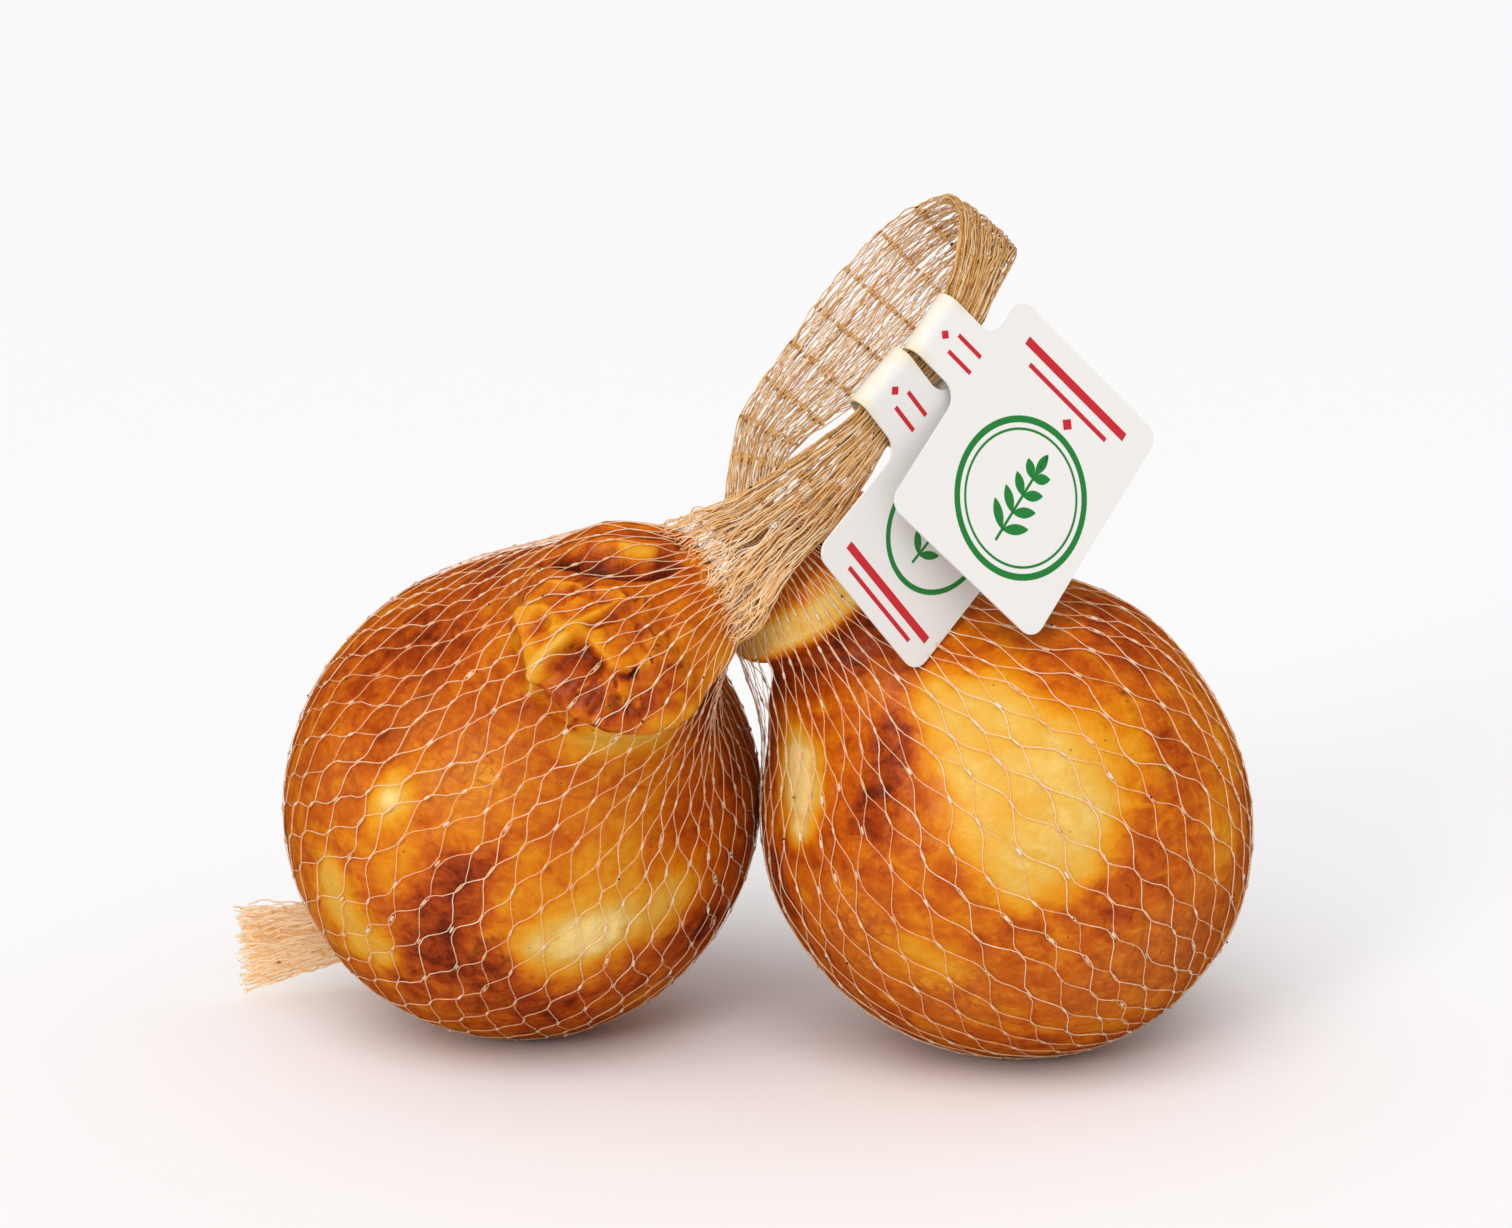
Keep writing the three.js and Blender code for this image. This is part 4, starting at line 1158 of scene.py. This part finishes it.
def tag_outline(tag):
    """The flat outline of a tag, from the lower corner of its band round to the upper one."""
    left, right, below = TAG_CARD_LEFT, TAG_CARD_LEFT + tag["width"], -tag["below"]
    inner = left - TAG_FILLET
    end = BAND_FOLD - math.pi * BAND_MIDDLE - BAND_STRAIGHT - BAND_GLUED
    return [
        (end, BAND_AT - BAND_HALF),
        *arc(inner, BAND_AT - BAND_HALF - TAG_FILLET, TAG_FILLET, 90, 0),
        *arc(left + TAG_CORNER, below + TAG_CORNER, TAG_CORNER, 180, 270),
        *arc(right - TAG_CORNER, below + TAG_CORNER, TAG_CORNER, -90, 0),
        *arc(right - TAG_CORNER, TAG_ABOVE - TAG_CORNER, TAG_CORNER, 0, 90),
        *arc(left + TAG_CORNER, TAG_ABOVE - TAG_CORNER, TAG_CORNER, 90, 180),
        *arc(inner, BAND_AT + BAND_HALF + TAG_FILLET, TAG_FILLET, 0, -90),
        (end, BAND_AT + BAND_HALF),
    ]


def fold_card(flat, lift=0.0):
    """Places of the stamped card in the strap's own directions, with its band folded round the strap."""
    x, y = flat[:, 0], flat[:, 1]
    fold = BAND_FOLD - x
    turn = math.pi * BAND_MIDDLE
    back = fold - turn
    curl = CURL_RIGHT * smoothstep(x, TAG_CARD_LEFT, TAG_CARD_LEFT + 60)
    curl += CURL_BELOW * smoothstep(-y, 10, 44)
    angle = np.clip(fold / BAND_MIDDLE, 0, math.pi)
    radius = BAND_MIDDLE + lift
    across = np.where(fold <= 0, x, BAND_FOLD - radius * np.sin(angle))
    face = np.where(fold <= 0, radius + curl, radius * np.cos(angle))
    glue = np.clip((back - BAND_STRAIGHT) / BAND_GLUED, 0, 1)
    behind = np.minimum(np.maximum(back, 0), BAND_STRAIGHT) + BAND_STEP * glue
    across = np.where(back > 0, BAND_FOLD + behind, across)
    face = np.where(back > 0, -radius + glue * (2 * BAND_MIDDLE - 2 * TAG_THICKNESS), face)
    return across, y, face


def strip_station(stations, station):
    """The middle and the directions across, along and through a strip at one of its stations."""
    share = station / (len(stations) - 1)
    near = through([s[0] for s in stations], np.array([share - 1e-4, share, share + 1e-4]))
    along = unit(near[2] - near[0])
    wide = unit(stations[station][1])
    wide = unit(wide - (wide @ along) * along)
    return near[1], wide, along, np.cross(wide, along)


def tag_place(tag, across, up, face):
    """Places in the scene, in mm, from places in the strap's own directions at the tag."""
    middle, wide, along, thick = strip_station(LOOP_STATIONS, tag["station"])
    return middle + np.outer(across, wide) + np.outer(up, along) + np.outer(face, thick)


def flat_sheet(name, points, faces):
    """A new piece of flat faces, which alone is selected."""
    bpy.ops.object.select_all(action="DESELECT")
    mesh = bpy.data.meshes.new(name)
    mesh.from_pydata(points, [], faces)
    piece = linked(name, mesh)
    bpy.context.view_layer.objects.active = piece
    piece.select_set(True)
    return piece


def thicken(piece, thickness):
    """Gives the selected sheet a thickness in mm, half of it to each side."""
    solid = piece.modifiers.new("thickness", "SOLIDIFY")
    solid.thickness = thickness * MM
    solid.offset = 0
    bpy.ops.object.modifier_apply(modifier="thickness")


def coated_card():
    """White coated card: faint fibres, and a warm stain at the fold and along the band's edges."""
    material, shader = new_material("coated_card")
    nodes, links = material.node_tree.nodes, material.node_tree.links
    place = nodes.new("ShaderNodeTexCoord")
    fibre = nodes.new("ShaderNodeTexNoise")
    fibre.inputs["Scale"].default_value = 1 / (2.5 * MM)
    fibre.inputs["Detail"].default_value = 5
    links.new(place.outputs["Object"], fibre.inputs["Vector"])
    warm = nodes.new("ShaderNodeMath")
    warm.operation = "MULTIPLY"
    links.new(painted(nodes, "stain"), warm.inputs[0])
    links.new(fibre.outputs["Fac"], warm.inputs[1])
    stops = [(0.0, (0.79, 0.768, 0.742)), (0.35, (0.76, 0.63, 0.40)), (0.8, (0.60, 0.36, 0.13))]
    ramp = colour_ramp(nodes, stops)
    links.new(warm.outputs[0], ramp.inputs["Fac"])
    links.new(ramp.outputs["Color"], shader.inputs["Base Color"])
    bump = nodes.new("ShaderNodeBump")
    bump.inputs["Strength"].default_value = 0.15
    bump.inputs["Distance"].default_value = 0.1 * MM
    links.new(fibre.outputs["Fac"], bump.inputs["Height"])
    links.new(bump.outputs["Normal"], shader.inputs["Normal"])
    shader.inputs["Roughness"].default_value = 0.42
    return material


card = coated_card()
for tag in TAGS:
    outline = tag_outline(tag)
    piece = flat_sheet(tag["name"], [(x, y, 0) for x, y in outline], [range(len(outline))])
    mesh = piece.data
    bpy.ops.object.mode_set(mode="EDIT")
    low, high = np.min(outline, axis=0), np.max(outline, axis=0)
    for axis, normal in enumerate([(1, 0, 0), (0, 1, 0)]):
        for cut in np.arange(low[axis] + TAG_GRID / 2, high[axis], TAG_GRID if axis else TAG_GRID / 2):
            bpy.ops.mesh.select_all(action="SELECT")
            bpy.ops.mesh.bisect(plane_co=(cut, cut, 0), plane_no=normal)
    bpy.ops.object.mode_set(mode="OBJECT")
    flat = mesh_points(mesh)
    places = tag_place(tag, *fold_card(flat))
    mesh.vertices.foreach_set("co", (places * MM).ravel())
    from_edge = np.abs(flat[:, 1] - BAND_AT) - BAND_HALF
    near_fold = 0.35 * np.exp(-(((flat[:, 0] - BAND_FOLD + 4) / 2.4) ** 2))
    near_fold += 0.35 * np.exp(-((from_edge / 1.5) ** 2)) * smoothstep(flat[:, 0], 3, -5)
    paint(mesh, "stain", np.clip(near_fold, 0, 1))
    mesh.update()
    thicken(piece, TAG_THICKNESS)
    bpy.ops.object.shade_smooth_by_angle(angle=SMOOTH_ANGLE)
    mesh.materials.append(card)
    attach(piece, "root")
    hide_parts(tag["node"])


# The print of the tags, in green and red: a ring with a sprig of leaves, rules and small diamonds, all laid
# on the card's coating.
PRINT_LIFT = TAG_THICKNESS / 2 + 0.02
PRINT_THICKNESS = 0.05
PRINT_STEP = 1.2
HOOP_POINTS = 74
FRONT_RING = (37.4, -19)  # the middle of the ring on each card
BACK_RING = (31.4, -16)
PRINT_GREEN = (0.012, 0.22, 0.035)
PRINT_RED = (0.58, 0.012, 0.022)


def ribbon(inner, outer):
    """A flat strip between two lines of as many points."""
    count = len(inner)
    faces = [(i, i + 1, count + i + 1, count + i) for i in range(count - 1)]
    return [*outer, *inner], faces


def bar(x, y, length, height):
    """A rule, from its left end."""
    steps = np.linspace(x, x + length, max(2, round(length / PRINT_STEP)))
    return ribbon([(u, y + height / 2) for u in steps], [(u, y - height / 2) for u in steps])


def bar_upright(x, y, length, width):
    """A stalk, from its foot."""
    steps = np.linspace(y, y + length, max(2, round(length / PRINT_STEP)))
    return ribbon([(x - width / 2, v) for v in steps], [(x + width / 2, v) for v in steps])


def hoop(x, y, radius, width):
    """A ring, by the radius of its middle line."""
    angles = np.radians(np.linspace(0, 360, HOOP_POINTS))
    edges = []
    for edge in (radius - width / 2, radius + width / 2):
        edges.append([(x + edge * math.cos(a), y + edge * math.sin(a)) for a in angles])
    return ribbon(*edges)


def leaf(x, y, length, width, angle):
    """A pointed leaf from its stalk, at an angle in degrees."""
    along = np.linspace(0, 1, 9)
    half = width / 2 * np.sin(np.pi * along) ** 0.8
    turn = math.radians(angle)
    upper, lower = [], []
    for share, h in zip(along, half):
        middle = (x + length * share * math.cos(turn), y + length * share * math.sin(turn))
        upper.append((middle[0] - h * math.sin(turn), middle[1] + h * math.cos(turn)))
        lower.append((middle[0] + h * math.sin(turn), middle[1] - h * math.cos(turn)))
    return ribbon(upper, lower)


def diamond(x, y, size):
    """A square that stands on a corner, by half of its height."""
    return ribbon([(x, y + size), (x + size, y)], [(x - size, y), (x, y - size)])


def sprig(x, y, size):
    """Leaves in pairs on an upright stalk."""
    shapes = [bar_upright(x, y - size, 2 * size, 0.7), leaf(x, y + 0.55 * size, 0.5 * size, 0.2 * size, 90)]
    for row in range(4):
        foot = y - 0.75 * size + 0.4 * size * row
        reach = size * (0.62 - 0.07 * row)
        shapes += [leaf(x, foot, reach, 0.21 * size, 38), leaf(x, foot, reach, 0.21 * size, 142)]
    return shapes


def add_print(name, tag, shapes, material):
    """All shapes of one colour on a tag, as one piece that follows the card."""
    flat, faces = [], []
    for points, shape_faces in shapes:
        faces += [tuple(len(flat) + corner for corner in face) for face in shape_faces]
        flat += points
    places = tag_place(tag, *fold_card(np.array(flat), PRINT_LIFT))
    piece = flat_sheet(name, (places * MM).tolist(), faces)
    thicken(piece, PRINT_THICKNESS)
    piece.data.materials.append(material)
    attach(piece, "root")
    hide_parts(tag["node"])


def ink(name, colour):
    """Flat printing ink."""
    material, shader = new_material(name)
    shader.inputs["Base Color"].default_value = (*colour, 1)
    shader.inputs["Roughness"].default_value = 0.5
    return material


green_ink = ink("green_ink", PRINT_GREEN)
red_ink = ink("red_ink", PRINT_RED)
band_red = [diamond(-2.5, BAND_AT, 1.3), bar(0.5, BAND_AT + 2.4, 8, 1.1), bar(0.5, BAND_AT - 2.4, 8, 1.1)]
front, back = TAGS
front_green = [hoop(*FRONT_RING, 18.5, 1.6), hoop(*FRONT_RING, 16.2, 0.6), *sprig(*FRONT_RING, 12.5)]
front_red = [*band_red, bar(16.4, 11.5, 36, 2.2), bar(20.4, 7.4, 28, 1.2), diamond(FRONT_RING[0], 3.2, 1.7)]
back_green = [hoop(*BACK_RING, 14.5, 1.3), *sprig(*BACK_RING, 10)]
back_red = [*band_red, bar(14.4, -35.5, 34, 2.0), bar(18.4, -39, 26, 1.1)]
add_print("card_tag_front_green", front, front_green, green_ink)
add_print("card_tag_front_red", front, front_red, red_ink)
add_print("card_tag_back_green", back, back_green, green_ink)
add_print("card_tag_back_red", back, back_red, red_ink)


# The stage: a pale floor without an edge in view, soft light from all round, a broad light from the upper
# left, a small one that gives the rind its sheen, and a camera at the height of the viewer.
FLOOR_WHITE = (0.90, 0.89, 0.893, 1)
CAMERA_AIM = (0.007, 0.017, 0.105)
CAMERA_DISTANCE = 0.9
CAMERA_ELEVATION = math.radians(12)
CAMERA_LENS = 85.714


def add_sun(name, energy, spread, tilt):
    """A distant light, with how broad it is and how it is turned, in degrees."""
    sun = bpy.data.lights.new(name, "SUN")
    sun.energy = energy
    sun.angle = math.radians(spread)
    lamp = linked(name, sun)
    lamp.rotation_euler = [math.radians(angle) for angle in tilt]
    return lamp


bpy.ops.object.select_all(action="DESELECT")
bpy.ops.mesh.primitive_plane_add(size=60)
floor = bpy.context.object
floor.name = "floor"
floor_material, floor_shader = new_material("floor_paper")
floor_shader.inputs["Base Color"].default_value = FLOOR_WHITE
floor_shader.inputs["Roughness"].default_value = 0.9
floor_shader.inputs["Specular IOR Level"].default_value = 0.1
floor.data.materials.append(floor_material)
floor.visible_glossy = False

world = bpy.data.worlds.new("studio")
world.use_nodes = True
sky = world.node_tree.nodes["Background"]
sky.inputs["Color"].default_value = (1, 1, 1, 1)
sky.inputs["Strength"].default_value = 0.62
bpy.context.scene.world = world
world.cycles_visibility.glossy = False

window = add_sun("window", 1.65, 50, (38, -10, 0))
window.visible_glossy = False
add_sun("glint", 0.7, 14, (70, 0, -30))

camera = bpy.data.cameras.new("camera")
camera.lens = CAMERA_LENS
camera_object = linked("camera", camera)
camera_object.location = (
    CAMERA_AIM[0],
    CAMERA_AIM[1] - CAMERA_DISTANCE * math.cos(CAMERA_ELEVATION),
    CAMERA_AIM[2] + CAMERA_DISTANCE * math.sin(CAMERA_ELEVATION),
)
camera_object.rotation_euler = (math.pi / 2 - CAMERA_ELEVATION, 0, 0)
bpy.context.scene.camera = camera_object
bpy.context.scene.view_settings.view_transform = "Standard"
